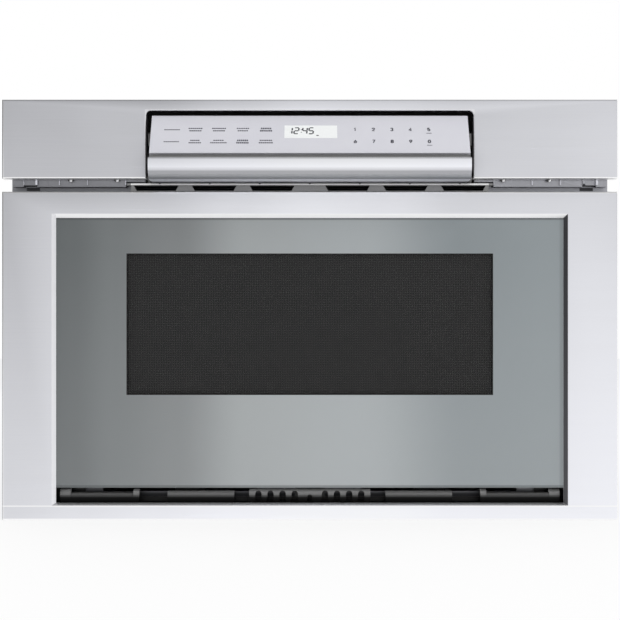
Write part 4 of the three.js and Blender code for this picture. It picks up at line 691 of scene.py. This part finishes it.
# Painted highlights along the folds at the notch and the bottom edge and beside the left edge; painted shade on
# the left edge's dim line.
fascia_steel.paint_highlight(near_notch * 0.35 * (1 - near_bottom) + near_bottom + bright_line)
fascia_steel.darken(dim_line)
fascia_path = [(fascia_low[0], fascia_low[2]), (-notch_half, fascia_low[2])]
for centre_x, start in ((-notch_half + notch_corner, 180), (notch_half - notch_corner, 90)):
    fascia_path += arc((centre_x, notch_top - notch_corner), (notch_corner,) * 2, start, start - 90)
fascia_path += [(notch_half, fascia_low[2]), (fascia_high[0], fascia_low[2]),
                (fascia_high[0], fascia_high[2]), (fascia_low[0], fascia_high[2])]
fascia_skin = outward(mesh_piece(
    "fascia_skin", *folded_sheet(fascia_path, fascia_low[1], fascia_high[1], fold, sheet),
    fascia_steel, "cabinet", "brushed_steel"))
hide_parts("fascia")

# -------------------- carrier and vents
# Behind the fascia a folded zinc channel joins it to the flange. Its lower edge shows over the drawer,
# with joggles, spot-welded stiffeners and pan-head screws; the black vent tray sits at its middle.
# The carrier's zinc runs from a darker left to a lighter right: painted shading.
carrier_zinc = zinc_sheet("carrier_zinc", tone=0.58, lit_right_tone=0.715)
dress(carrier_zinc, "fascia_carrier")
carrier_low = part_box("fascia_carrier")[0]


def plate(x, y, z):
    """A small flat plate between two places on each axis: the eight corners of a cuboid."""
    corners = np.array([(a, b, c) for c in z for b in y for a in x])
    faces = [(0, 2, 3, 1), (4, 5, 7, 6), (0, 1, 5, 4), (2, 6, 7, 3), (0, 4, 6, 2), (1, 3, 7, 5)]
    return corners, faces


def bevelled(piece, width, segments=2):
    """Rounds the edges of a finished piece."""
    modifier = piece.modifiers.new("edges", "BEVEL")
    modifier.width = width
    modifier.segments = segments
    modifier.limit_method = "ANGLE"
    return piece


web_y = carrier_low[1]
strip_z = (carrier_low[2] + 1.4 * MM, fascia_low[2] - 0.2 * MM)


def upright(x, half_width, lift):
    """A narrow upright strip on the carrier's web: its middle, half its width and its height off the
    web, in millimetres."""
    return plate(((x - half_width) * MM, (x + half_width) * MM), (web_y - lift * MM, web_y + 0.2 * MM), strip_z)


stiffeners = [upright(*strip) for strip in (
    (-284.6, 0.4, 0.4), (-271.8, 1.1, 3.2), (-249.2, 0.5, 1.1), (-221.2, 0.5, 1.1), (-183.2, 0.5, 1.1),
    (221.2, 0.6, 1.1), (249.2, 0.6, 1.1), (285.4, 1.1, 3.2))]
# A near-white copy of the zinc for the stiffeners: painted highlights on their lit edges.
highlight_zinc = zinc_sheet("highlight_zinc", tone=0.93)
# Thin dark strips beside them: painted shadow lines.
painted_shadow_strips = [upright(x, half_width, 0.25)
                for x, half_width in ((183.4, 0.6), (222.6, 0.5), (250.6, 0.5), (272.9, 1.3))]
mesh_piece("carrier_shadow_strips", *together(*painted_shadow_strips), flange_steel, "cabinet", "dark_steel")
bevelled(outward(mesh_piece("carrier_stiffeners", *together(*stiffeners), highlight_zinc, "cabinet",
                            "galvanised_steel")), 0.3 * MM)
screw_y, screw_z = web_y - 1.8 * MM, fascia_low[2] + 1.6 * MM
carrier_screws = [screw_head((x * MM, screw_y, screw_z), (0, -1, 0), radius=3.7 * MM)
                  for x in (-237.6, -191.6, 237.6, 191.6)]
# A dark copy of the screw steel, painted shade under the fascia's edge, with a painted white glint on each
# head.
shaded_screw_steel = mottled("shaded_screw_steel", grey(0.3), grey(0.2), grey(0.34), 900, 0.2, 0.28,
                          rough=0.35, metal=1.0)
screw_x = shaded_screw_steel.axes()[0]
for glint_from in (-238.6, -192.4, 191.4, 237.4):
    shaded_screw_steel.paint_highlight(screw_x.between(glint_from * MM, (glint_from + 2.4) * MM, 0.0003) * 0.95)
mesh_piece("carrier_screws", *together(*carrier_screws), shaded_screw_steel, "cabinet", "slide_steel")

tray_low, tray_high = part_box("exhaust_tray")
vent_coat = mottled("vent_coat", grey(0.6), grey(0.53), grey(0.63), 900, 0.2, 0.34, 2, rough=0.4, metal=1.0)
# Painted shade: all but the tray's front face is darkened nearly to black in the vents' depths.
vent_coat.darken(vent_coat.axes()[1].above(tray_low[1] + 1.4 * MM, 0.0003) * 0.96)
dress(vent_coat, "exhaust_tray")
lip_half = 178 * MM
lip_z = tray_high[2]
# The lip is near-white steel: a painted highlight along the lit front edge of the tray.
lip_highlight_steel = mottled("lip_highlight_steel", grey(0.8), grey(0.93), grey(1.0), 300, 0.25, 0.28, stretch=(0.1, 1, 1),
                    rough=0.35, metal=1.0)
lip_front = tray_low[1]
lip_ticks = [plate((x - 0.8 * MM, x + 0.8 * MM), (lip_front - 0.5 * MM, lip_front + 3 * MM),
                   (lip_z - 0.8 * MM, lip_z - 0.05 * MM))
             for x in np.linspace(-149.3, 149.3, 7) * MM]
lip = plate((-lip_half, lip_half), (lip_front - 0.4 * MM, lip_front + 0.6 * MM),
            (lip_z - 1.7 * MM, lip_z - 0.1 * MM))
mesh_piece("vent_lip", *lip, lip_highlight_steel, "cabinet", "dark_steel")
mesh_piece("vent_ticks", *together(*lip_ticks), black_nylon, "cabinet", "black_plastic")

# -------------------- panel recess
# A black-painted pocket that the control panel swings back into, with its push catch and the grey side
# brackets that carry the pivot pins.
pocket_paint = Finish("pocket_paint", grey(0.10), rough=0.6)
pocket_dust = pocket_paint.noise(700, detail=4)
pocket_paint.vary(pocket_dust, grey(0.075), grey(0.13), 0.25, 0.45)
pocket_paint.relief(pocket_dust, 0.00006)
dress(pocket_paint, "recess_liner")
dress(black_nylon, "pod_catch")
dress(moulded("bracket_grey", grey(0.40)), *both("pod_bracket"))

# -------------------- drawer front frame
# One brushed stainless pressing: folded back at its rim and pressed in round the glass as a narrow
# bevel, mitred at the corners. Spot-lit edges show as fine lines, painted as highlights, and the right bevel's
# shade is painted too.
door_low, door_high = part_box("door_frame")
rail_side = 52.8 * MM
rail_top = 25.7 * MM
rail_bottom = 16.9 * MM
bevel = 3.9 * MM
low_bevel_share = 0.65  # the bottom bevel is narrower
# Painted light and shade in the rows of tones: lighter towards the bottom rail and varying across the width.
frame_steel = brushed_steel("frame_steel", (0.865, 0.84, 0.85, 0.91, 0.945, 0.92, 0.865, 0.87, 0.885),
                            (0.88, 0.92, 0.95, 0.98, 0.99, 0.99, 0.97, 0.97, 0.97), door_low[2], door_high[2])
open_x = door_high[0] - rail_side
open_z = (door_low[2] + rail_bottom, door_high[2] - rail_top)


def rectangle(half, z, y):
    """The corners of an upright rectangle, anticlockwise seen from the front."""
    return np.array([(-half, y, z[0]), (half, y, z[0]), (half, y, z[1]), (-half, y, z[1])])


frame_x, _, frame_z = frame_steel.axes()
bevel_z = frame_z.between(open_z[0] - bevel, open_z[1] + bevel)
top_mitre = (frame_x - frame_z).above(open_x - open_z[1])
low_mitre = (frame_x * low_bevel_share + frame_z).above(open_x * low_bevel_share + open_z[0])
shaded_bevel = frame_x.between(open_x, open_x + bevel) * bevel_z * top_mitre * low_mitre
lit_bevels = frame_x.between(-open_x - bevel, open_x + bevel) * bevel_z - shaded_bevel
rim = 1 - frame_z.above(door_low[2] + fold)
side_bevel = frame_x.between(-open_x - bevel, -open_x) * bevel_z
low_bevel = lit_bevels * (1 - frame_z.above(open_z[0]))
crease_z = open_z[0] - bevel * low_bevel_share
low_crease = frame_z.between(crease_z - 1.2 * MM, crease_z)
top_rim = frame_z.above(door_high[2] - fold)
dim_line, bright_line = left_edge(frame_x, door_low[0])
dimmer = side_bevel * 0.55 + low_bevel * 0.1
# Painted highlights on the lit bevels, the rims, the left edge and the low crease, less on the left and bottom
# bevels; painted shade on the right bevel and the left edge's dim line.
frame_steel.paint_highlight(lit_bevels + rim + top_rim + bright_line + low_crease - dimmer)
frame_steel.darken(shaded_bevel * 0.9 + dim_line)


def rim_ring(inset, y):
    """The frame's outline, drawn in by an inset."""
    return rectangle(door_high[0] - inset, (door_low[2] + inset, door_high[2] - inset), y)


def opening_ring(out, low_out, y):
    """The opening's outline, widened at the sides and the top, and by another amount at the bottom."""
    return rectangle(open_x + out, (open_z[0] - low_out, open_z[1] + out), y)


frame_rings = [rim_ring(0.0, door_high[1])]
for a in np.linspace(0, math.pi / 2, 6):
    frame_rings.append(rim_ring(fold * (1 - math.cos(a)), door_low[1] + fold * (1 - math.sin(a))))
crease = 0.6 * MM  # radius where the flat front turns into the bevel
slope = math.pi / 4
for a in np.linspace(0, slope, 4):
    out = bevel + crease * math.tan(slope / 2) - crease * math.sin(a)
    frame_rings.append(opening_ring(out, out * low_bevel_share, door_low[1] + crease * (1 - math.cos(a))))
frame_rings += [
    opening_ring(0.0, 0.0, door_low[1] + bevel),
    opening_ring(sheet, sheet, door_low[1] + bevel),
    opening_ring(bevel + sheet, bevel * low_bevel_share + sheet, door_low[1] + sheet),
    rim_ring(sheet, door_low[1] + sheet),
    rim_ring(sheet, door_high[1])]
frame_skin = outward(mesh_piece(
    "frame_skin", np.concatenate(frame_rings),
    quads(len(frame_rings), 4, wrap_rows=True, wrap_columns=True), frame_steel, "drawer", "brushed_steel"))
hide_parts("door_frame")

# -------------------- door glass and window
# Tempered glass, silver-grey mirror-printed on its back except at the window. There it is dark tinted
# and a black perforated screen shows through; a fine dark line round the window is painted shadow at the
# tint's edge. The print's tone carries painted reflection across the width and at the foot, and painted
# shade along the frame and the cut edge.
glass_low, glass_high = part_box("door_glass")
screen_low, screen_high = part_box("window_screen")
screen_lap = 4 * MM
window_x = (screen_low[0] + screen_lap, screen_high[0] - screen_lap)
window_z = (screen_low[2] + screen_lap, screen_high[2] - screen_lap)
tint_shade_line = 0.9 * MM

mirror_glass = Finish("mirror_glass", tint(130, 136, 138), rough=0.06, Specular_IOR_Level=0.35)
glass_x, _, glass_z = mirror_glass.axes()
across = glass_x.run(glass_low[0], glass_high[0])
# Painted reflection: the print's tone runs across the width, darker on the left and lighter in the middle.
silver = mirror_glass.ramp(
    across, (0.0, tint(88, 92, 93)), (0.04, tint(92, 96, 97)), (0.12, tint(107, 111, 112)),
    (0.24, tint(119, 122, 123)), (0.38, tint(152, 156, 157)), (0.60, tint(156, 161, 163)),
    (0.80, tint(126, 133, 136)), (1.0, tint(132, 139, 142)))
foot_reflection_top = 255 * MM  # the painted pale reflection at the glass's foot fades out here
falling = glass_z.run(glass_low[2], foot_reflection_top, 1.0, 0.0)
gain = mirror_glass.levels(across, (0.0, 0.12), (0.15, 0.14), (0.5, 0.25), (1.0, 0.17))
silver = mirror_glass.blend(falling * gain, silver, tint(212, 216, 218))
haze = mirror_glass.noise(7, stretch=(1, 1, 0.4), detail=2)
silver = mirror_glass.blend(haze * 0.05, silver, tint(190, 196, 200))
# The opaque band between the tinted window and its clear middle is a painted shadow line at the tint's edge.
inside = glass_x.between(*window_x) * glass_z.between(*window_z)
well_inside = glass_x.between(window_x[0] + tint_shade_line, window_x[1] - tint_shade_line) \
    * glass_z.between(window_z[0] + tint_shade_line, window_z[1] - tint_shade_line)
# Painted shade: darker along the cut edge at the foot, under the top rail and beside the right rail.
cut_edge = 1 - glass_z.above(glass_low[2] + 2.4 * MM, 0.0004)
under_frame = glass_z.above(open_z[1] - 2.0 * MM, 0.0005)
beside_frame = glass_x.above(open_x - 3.6 * MM, 0.001)
for edge_shade in (cut_edge * 0.5, under_frame * 0.6, beside_frame * 0.25):
    silver = mirror_glass.blend(edge_shade, silver, tint(70, 74, 76))
mirror_glass.set("Base Color", mirror_glass.blend(inside, silver, grey(0.09)))
mirror_glass.set("Alpha", 1 - well_inside * 0.8)
mirror_glass.set("Roughness", haze * 0.04 + inside * 0.2 + 0.05)
dress(mirror_glass, "door_glass")

# The screen: thin black-painted steel with square-set round holes.
screen_steel = Finish("screen_steel", grey(0.25), rough=0.5, metal=0.3)
screen_x, _, screen_z = screen_steel.axes()
hole_pitch = 2.35 * MM


def from_hole(skin, along, pitch):
    """The squared distance from the middle of the nearest hole along one axis, in pitches."""
    cell = skin.node("ShaderNodeMath", {"operation": "FRACT"}, along * (1 / pitch)) - 0.5
    return cell * cell


from_middle = from_hole(screen_steel, screen_x, hole_pitch) + from_hole(screen_steel, screen_z, hole_pitch)
hole = 1 - from_middle.above(0.13, 0.03)
paint = screen_steel.blend(screen_steel.noise(90, detail=4), grey(0.25), grey(0.29))
screen_steel.set("Base Color", screen_steel.blend(hole, paint, grey(0.19)))
screen_steel.relief(1 - hole, 0.0003)
dress(screen_steel, "window_screen")

# -------------------- choke ring and grille
# A grey moulded ring closes the joint round the cavity's mouth. Below the glass a black moulding forms
# the air slot: smooth rounded bands with a row of arched holes in the middle one.
pan_enamel = mottled("pan_enamel", grey(0.7), grey(0.66), grey(0.74), 260, 0.15, 0.28, 2,
                     rough=0.35, Coat_Weight=0.3)
pan_back_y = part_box("door_pan")[1][1]
# Painted shade: the pan's front face, seen through the air slot, is made nearly black.
pan_enamel.over(1 - pan_enamel.axes()[1].above(pan_back_y - 0.6 * MM), grey(0.08))
dress(pan_enamel, "door_pan")
dress(moulded("choke_plastic", grey(0.45), rough=0.45), "choke_cover")
grille_black = moulded("grille_black", grey(0.06), grain=1500)
grille_black.set("Specular IOR Level", 0.12)
grille_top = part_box("door_grille")[1][2]
# Painted light: the bands pale to near white towards their rounded tops, where the light from above falls, and
# go black lower down in shade.
grille_rise = grille_black.axes()[2].run(grille_top - 10 * MM, grille_top)
grille_black.set("Base Color", grille_black.ramp(
    grille_rise, (0.0, grey(0.05)), (0.18, grey(0.11)), (0.36, grey(0.33)), (0.56, grey(0.55)),
    (0.76, grey(0.75)), (1.0, grey(0.96))))
dress(grille_black, "door_grille")

# -------------------- drawer box and shelf
# The box is enamelled like the cavity. Its shelf is a pale glass ceramic, sealed in with silicone, with
# fine speckles and a satin gloss.
shelf_ceramic = Finish("shelf_ceramic", tint(226, 225, 219), rough=0.18, Coat_Weight=0.4)
speckle = shelf_ceramic.noise(1800, detail=1).above(0.68, 0.02)
veil = shelf_ceramic.noise(12, detail=3)
pale = shelf_ceramic.blend(veil, tint(214, 213, 206), tint(234, 233, 228))
shelf_ceramic.coat(shelf_ceramic.blend(speckle * 0.7, pale, tint(150, 148, 142)), veil * 0.1 + 0.12)
dress(shelf_ceramic, "ceramic_shelf")

# -------------------- control panel housing
# The tilting pod is a dark grey moulding on two pins. Places on it are given as reach and rise: forward
# of and above its pivot.
pod_low, pod_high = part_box("nose_cover")
pivot = np.array([front_y + 4 * MM, pod_low[2] + 4 * MM])
pod_half = pod_high[0]
dress(moulded("pod_plastic", grey(0.43), rough=0.42), "pod_housing")


def placed(reach_rise):
    """(reach, rise) in millimetres to (y, z) in metres."""
    reach_rise = np.asarray(reach_rise, float) * MM
    return np.stack([pivot[0] - reach_rise[..., 0], pivot[1] + reach_rise[..., 1]], axis=-1)


def carried(outline, half):
    """A closed (y, z) outline carried across the width between -half and half, with flat ends."""
    ends = [np.insert(outline, 0, x, axis=1) for x in (-half, half)]
    return np.concatenate(ends), capped(2, len(outline))


# -------------------- nose cover
# The grip under the glass is a brushed steel skin wrapped round the housing's nose: flat underneath,
# a wide curve up to an upright front, and a tight top edge over a dark groove.
def nose_profile(inset):
    """Underside, elliptical quarter and top edge, drawn in by an inset, as reach and rise."""
    lower = arc((36, 8), (18 - inset, 12 - inset), -90, 0, 24)
    return [(-4, -4 + inset)] + lower + arc((52.4, 15), (1.6 - inset,) * 2, 0, 90, 6)


# Painted light in the rows of tones: near white across the nose as it faces the room.
nose_steel = brushed_steel("nose_steel", (0.94, 0.94, 0.95, 0.98, 0.99, 0.99, 0.98, 0.98, 0.98),
                           (0.95, 0.95, 0.95, 0.96, 0.97, 0.97, 0.96, 0.96, 0.96), pod_low[2], pod_high[2])
_, nose_y, nose_z = nose_steel.axes()
nose_rise = nose_z.run(pivot[1] - 4 * MM, pivot[1] + 16 * MM)
underneath = nose_y.above(pivot[0] - 40 * MM, 0.001)  # the flat that shows when the panel is shut
nose_shade = nose_steel.levels(nose_rise, (0.0, 0.74), (0.05, 0.52), (0.15, 0.14), (0.24, 0.44), (0.34, 0.56),
                               (0.48, 0.2), (0.6, 0.0))
nose_steel.darken(nose_shade * (1 - underneath))
nose_steel.set("Roughness", nose_rise.run(0.1, 0.5, 0.5, 0.3))
nose_skin = outward(mesh_piece(
    "nose_skin", *carried(placed(nose_profile(0) + nose_profile(1.2)[::-1]), pod_half),
    nose_steel, "control_panel", "brushed_steel"))
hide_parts("nose_cover")

# -------------------- control glass
# A lavender-grey printed glass with a pale display field. The touch fields are marked by rows of plain
# dashes and by numbers; the clock's digits are dark on the white field.
panel_top = np.array([2.0, 61.5])
panel_foot = np.array([38.0, 22.0])
panel_length = np.linalg.norm(panel_foot - panel_top)
panel_down = (panel_foot - panel_top) / panel_length
panel_out = np.array([-panel_down[1], panel_down[0]])
dress(mottled("control_skin", tint(197, 197, 206), tint(192, 192, 200), tint(199, 199, 205), 30,
              0.08, 0.14, rough=0.16, Coat_Weight=0.25), "control_glass")


def on_panel(across_down, lift):
    """Points of the control face, as x and distance down it in millimetres, lifted off by a little."""
    across_down = np.asarray(across_down, float)
    reach_rise = panel_top + across_down[:, 1:] * panel_down + lift * panel_out
    return np.column_stack([across_down[:, 0] * MM, placed(reach_rise)])


def ribbon(path, width, lift=0.06):
    """A flat line along a path on the control face. At a bend its half width grows as 1 / cos of half
    the turn, up to a limit that keeps sharp bends blunt."""
    path = np.asarray(path, float)
    along = np.diff(path, axis=0)
    along /= np.linalg.norm(along, axis=1)[:, None]
    before = np.concatenate([along[:1], along])
    after = np.concatenate([along, along[-1:]])
    middle = before + after
    middle /= np.linalg.norm(middle, axis=1)[:, None]
    normal = np.stack([-middle[:, 1], middle[:, 0]], axis=1)
    reach = width / 2 / np.clip(np.sum(middle * after, axis=1), 0.7, 1)[:, None]
    points = np.concatenate([path + normal * reach, path - normal * reach])
    return on_panel(points, lift), quads(2, len(path))


def numeral(digit, place, height, width):
    """A plain numeral from ribbons: strokes are laid out in a box 0.6 wide and 1 high, y downwards."""
    strokes = {
        0: [arc((0.3, 0.5), (0.3, 0.5), 0, 360, 20)],
        1: [[(0.1, 0.2), (0.32, 0.0), (0.32, 1.0)]],
        2: [arc((0.3, 0.28), (0.28, 0.28), 180, 390, 12) + [(0.02, 1.0), (0.6, 1.0)]],
        3: [arc((0.28, 0.26), (0.26, 0.26), 200, 450, 12), arc((0.28, 0.74), (0.3, 0.26), 270, 520, 12)],
        4: [[(0.46, 1.0), (0.46, 0.0), (0.0, 0.7), (0.6, 0.7)]],
        5: [[(0.54, 0.0), (0.1, 0.0), (0.06, 0.42)] + arc((0.28, 0.68), (0.3, 0.32), 235, 510, 12)],
        6: [[(0.46, 0.0), (0.08, 0.52)] + arc((0.3, 0.7), (0.28, 0.3), 200, 560, 18)],
        7: [[(0.02, 0.0), (0.58, 0.0), (0.2, 1.0)]],
        8: [arc((0.3, 0.26), (0.24, 0.26), 0, 360, 16), arc((0.3, 0.76), (0.29, 0.24), 0, 360, 16)],
        9: [[(0.14, 1.0), (0.52, 0.48)] + arc((0.3, 0.3), (0.28, 0.3), 20, 380, 18)],
    }[digit]
    place = np.asarray(place, float)
    return [ribbon(place + (np.array(stroke) - (0.3, 0.5)) * height, width) for stroke in strokes]


ink = mottled("panel_ink", tint(62, 62, 72), tint(52, 52, 60), tint(74, 74, 84), 900, detail=2)
marks = []
key_x = (44.3, 62.2, 80.2, 98.3, 116.4)
key_rows = (20.4, 37.6)
for index, digit in enumerate((1, 2, 3, 4, 5, 6, 7, 8, 9, 0)):
    marks += numeral(digit, (key_x[index % 5], key_rows[index // 5] - 0.4), 3.9, 1.15)


def dashes(x, down, width, thick):
    """A plain mark on a touch field: a row of short dashes, 1.9 apart, over a width in millimetres."""
    count = round(width / 1.9)
    starts = x - width / 2 + np.arange(count) * width / count
    return [ribbon([(start, down), (start + width / count - 0.45, down)], thick) for start in starts]


# each column: its middle, the widths of its upper and its lower mark's lines, and their thicknesses
fields = ((-134.6, (15.6, 0), (15.2, 0), 1.3, 1.3), (-111.7, (14.0, 12.2), (9.4, 12.4), 1.6, 1.6),
          (-88.7, (14.0, 12.0), (10.4, 16.4), 1.6, 1.5), (-65.3, (12.4, 10.4), (11.0, 12.4), 1.5, 2.2),
          (-42.6, (10.6, 12.2), (12.4, 14.0), 2.1, 1.7))
for x, upper, lower, upper_thick, lower_thick in fields:
    for down, widths, thick in ((key_rows[0], upper, upper_thick), (key_rows[1], lower, lower_thick)):
        for line, width in zip((-1.9, 1.5) if widths[1] else (0.0,), widths):
            marks += dashes(x, down + line, width, thick)
for down in (key_rows[0] + 5.0, key_rows[1] + 5.0):
    marks.append(ribbon([(key_x[4] - 2.6, down), (key_x[4] + 2.6, down)], 0.7))
mesh_piece("panel_marks", *together(*marks), ink, "control_panel", "black_plastic")

display_white = mottled("display_white", tint(224, 226, 226), tint(219, 221, 221), tint(230, 232, 232), 40,
                        detail=2, rough=0.3)
left, right = -24.8, 26.8
display_down = (14.2, 32.4)
corners = [(left, display_down[0]), (left, display_down[1]), (right, display_down[1]), (right, display_down[0])]
mesh_piece("display_field", on_panel(corners, 0.03), [(0, 1, 2, 3)], display_white, "control_panel",
           "white_plastic")

# Seven bars make each clock digit: three across, four upright, slanted a little to the right.
segments = {"top": ((0, 0), (1, 0)), "middle": ((0, 1), (1, 1)), "bottom": ((0, 2), (1, 2)),
            "upper left": ((0, 0), (0, 1)), "upper right": ((1, 0), (1, 1)),
            "lower left": ((0, 1), (0, 2)), "lower right": ((1, 1), (1, 2))}
lit = {"1": ("upper right", "lower right"), "2": ("top", "upper right", "middle", "lower left", "bottom"),
       "4": ("upper left", "upper right", "middle", "lower right"),
       "5": ("top", "upper left", "middle", "lower right", "bottom")}
bar_length = 4.3
clock_marks = []
for digit, left in zip("1245", (-22.0, -15.6, -7.4, -1.2)):
    for name in lit[digit]:
        ends = np.array(segments[name], float)
        inward = (ends[1] - ends[0]) * 0.09
        ends = (ends + [inward, -inward]) * bar_length
        ends[:, 0] += left + (2 * bar_length - ends[:, 1]) * 0.09
        clock_marks.append(ribbon(ends + (0, display_down[0] + 3.4), 1.35, 0.08))
for down in (display_down[0] + 5.8, display_down[0] + 9.4):
    clock_marks.append(ribbon([(-8.3, down), (-8.3, down + 0.9)], 1.0, 0.08))
low_mark = display_down[1] - 3.8
clock_marks.append(ribbon([(6.4, low_mark), (8.6, low_mark)], 1.2, 0.08))
clock_ink = mottled("clock_ink", tint(24, 25, 38), tint(20, 21, 34), tint(34, 35, 50), 700, detail=2, rough=0.4)
mesh_piece("clock_digits", *together(*clock_marks), clock_ink, "control_panel", "black_plastic")
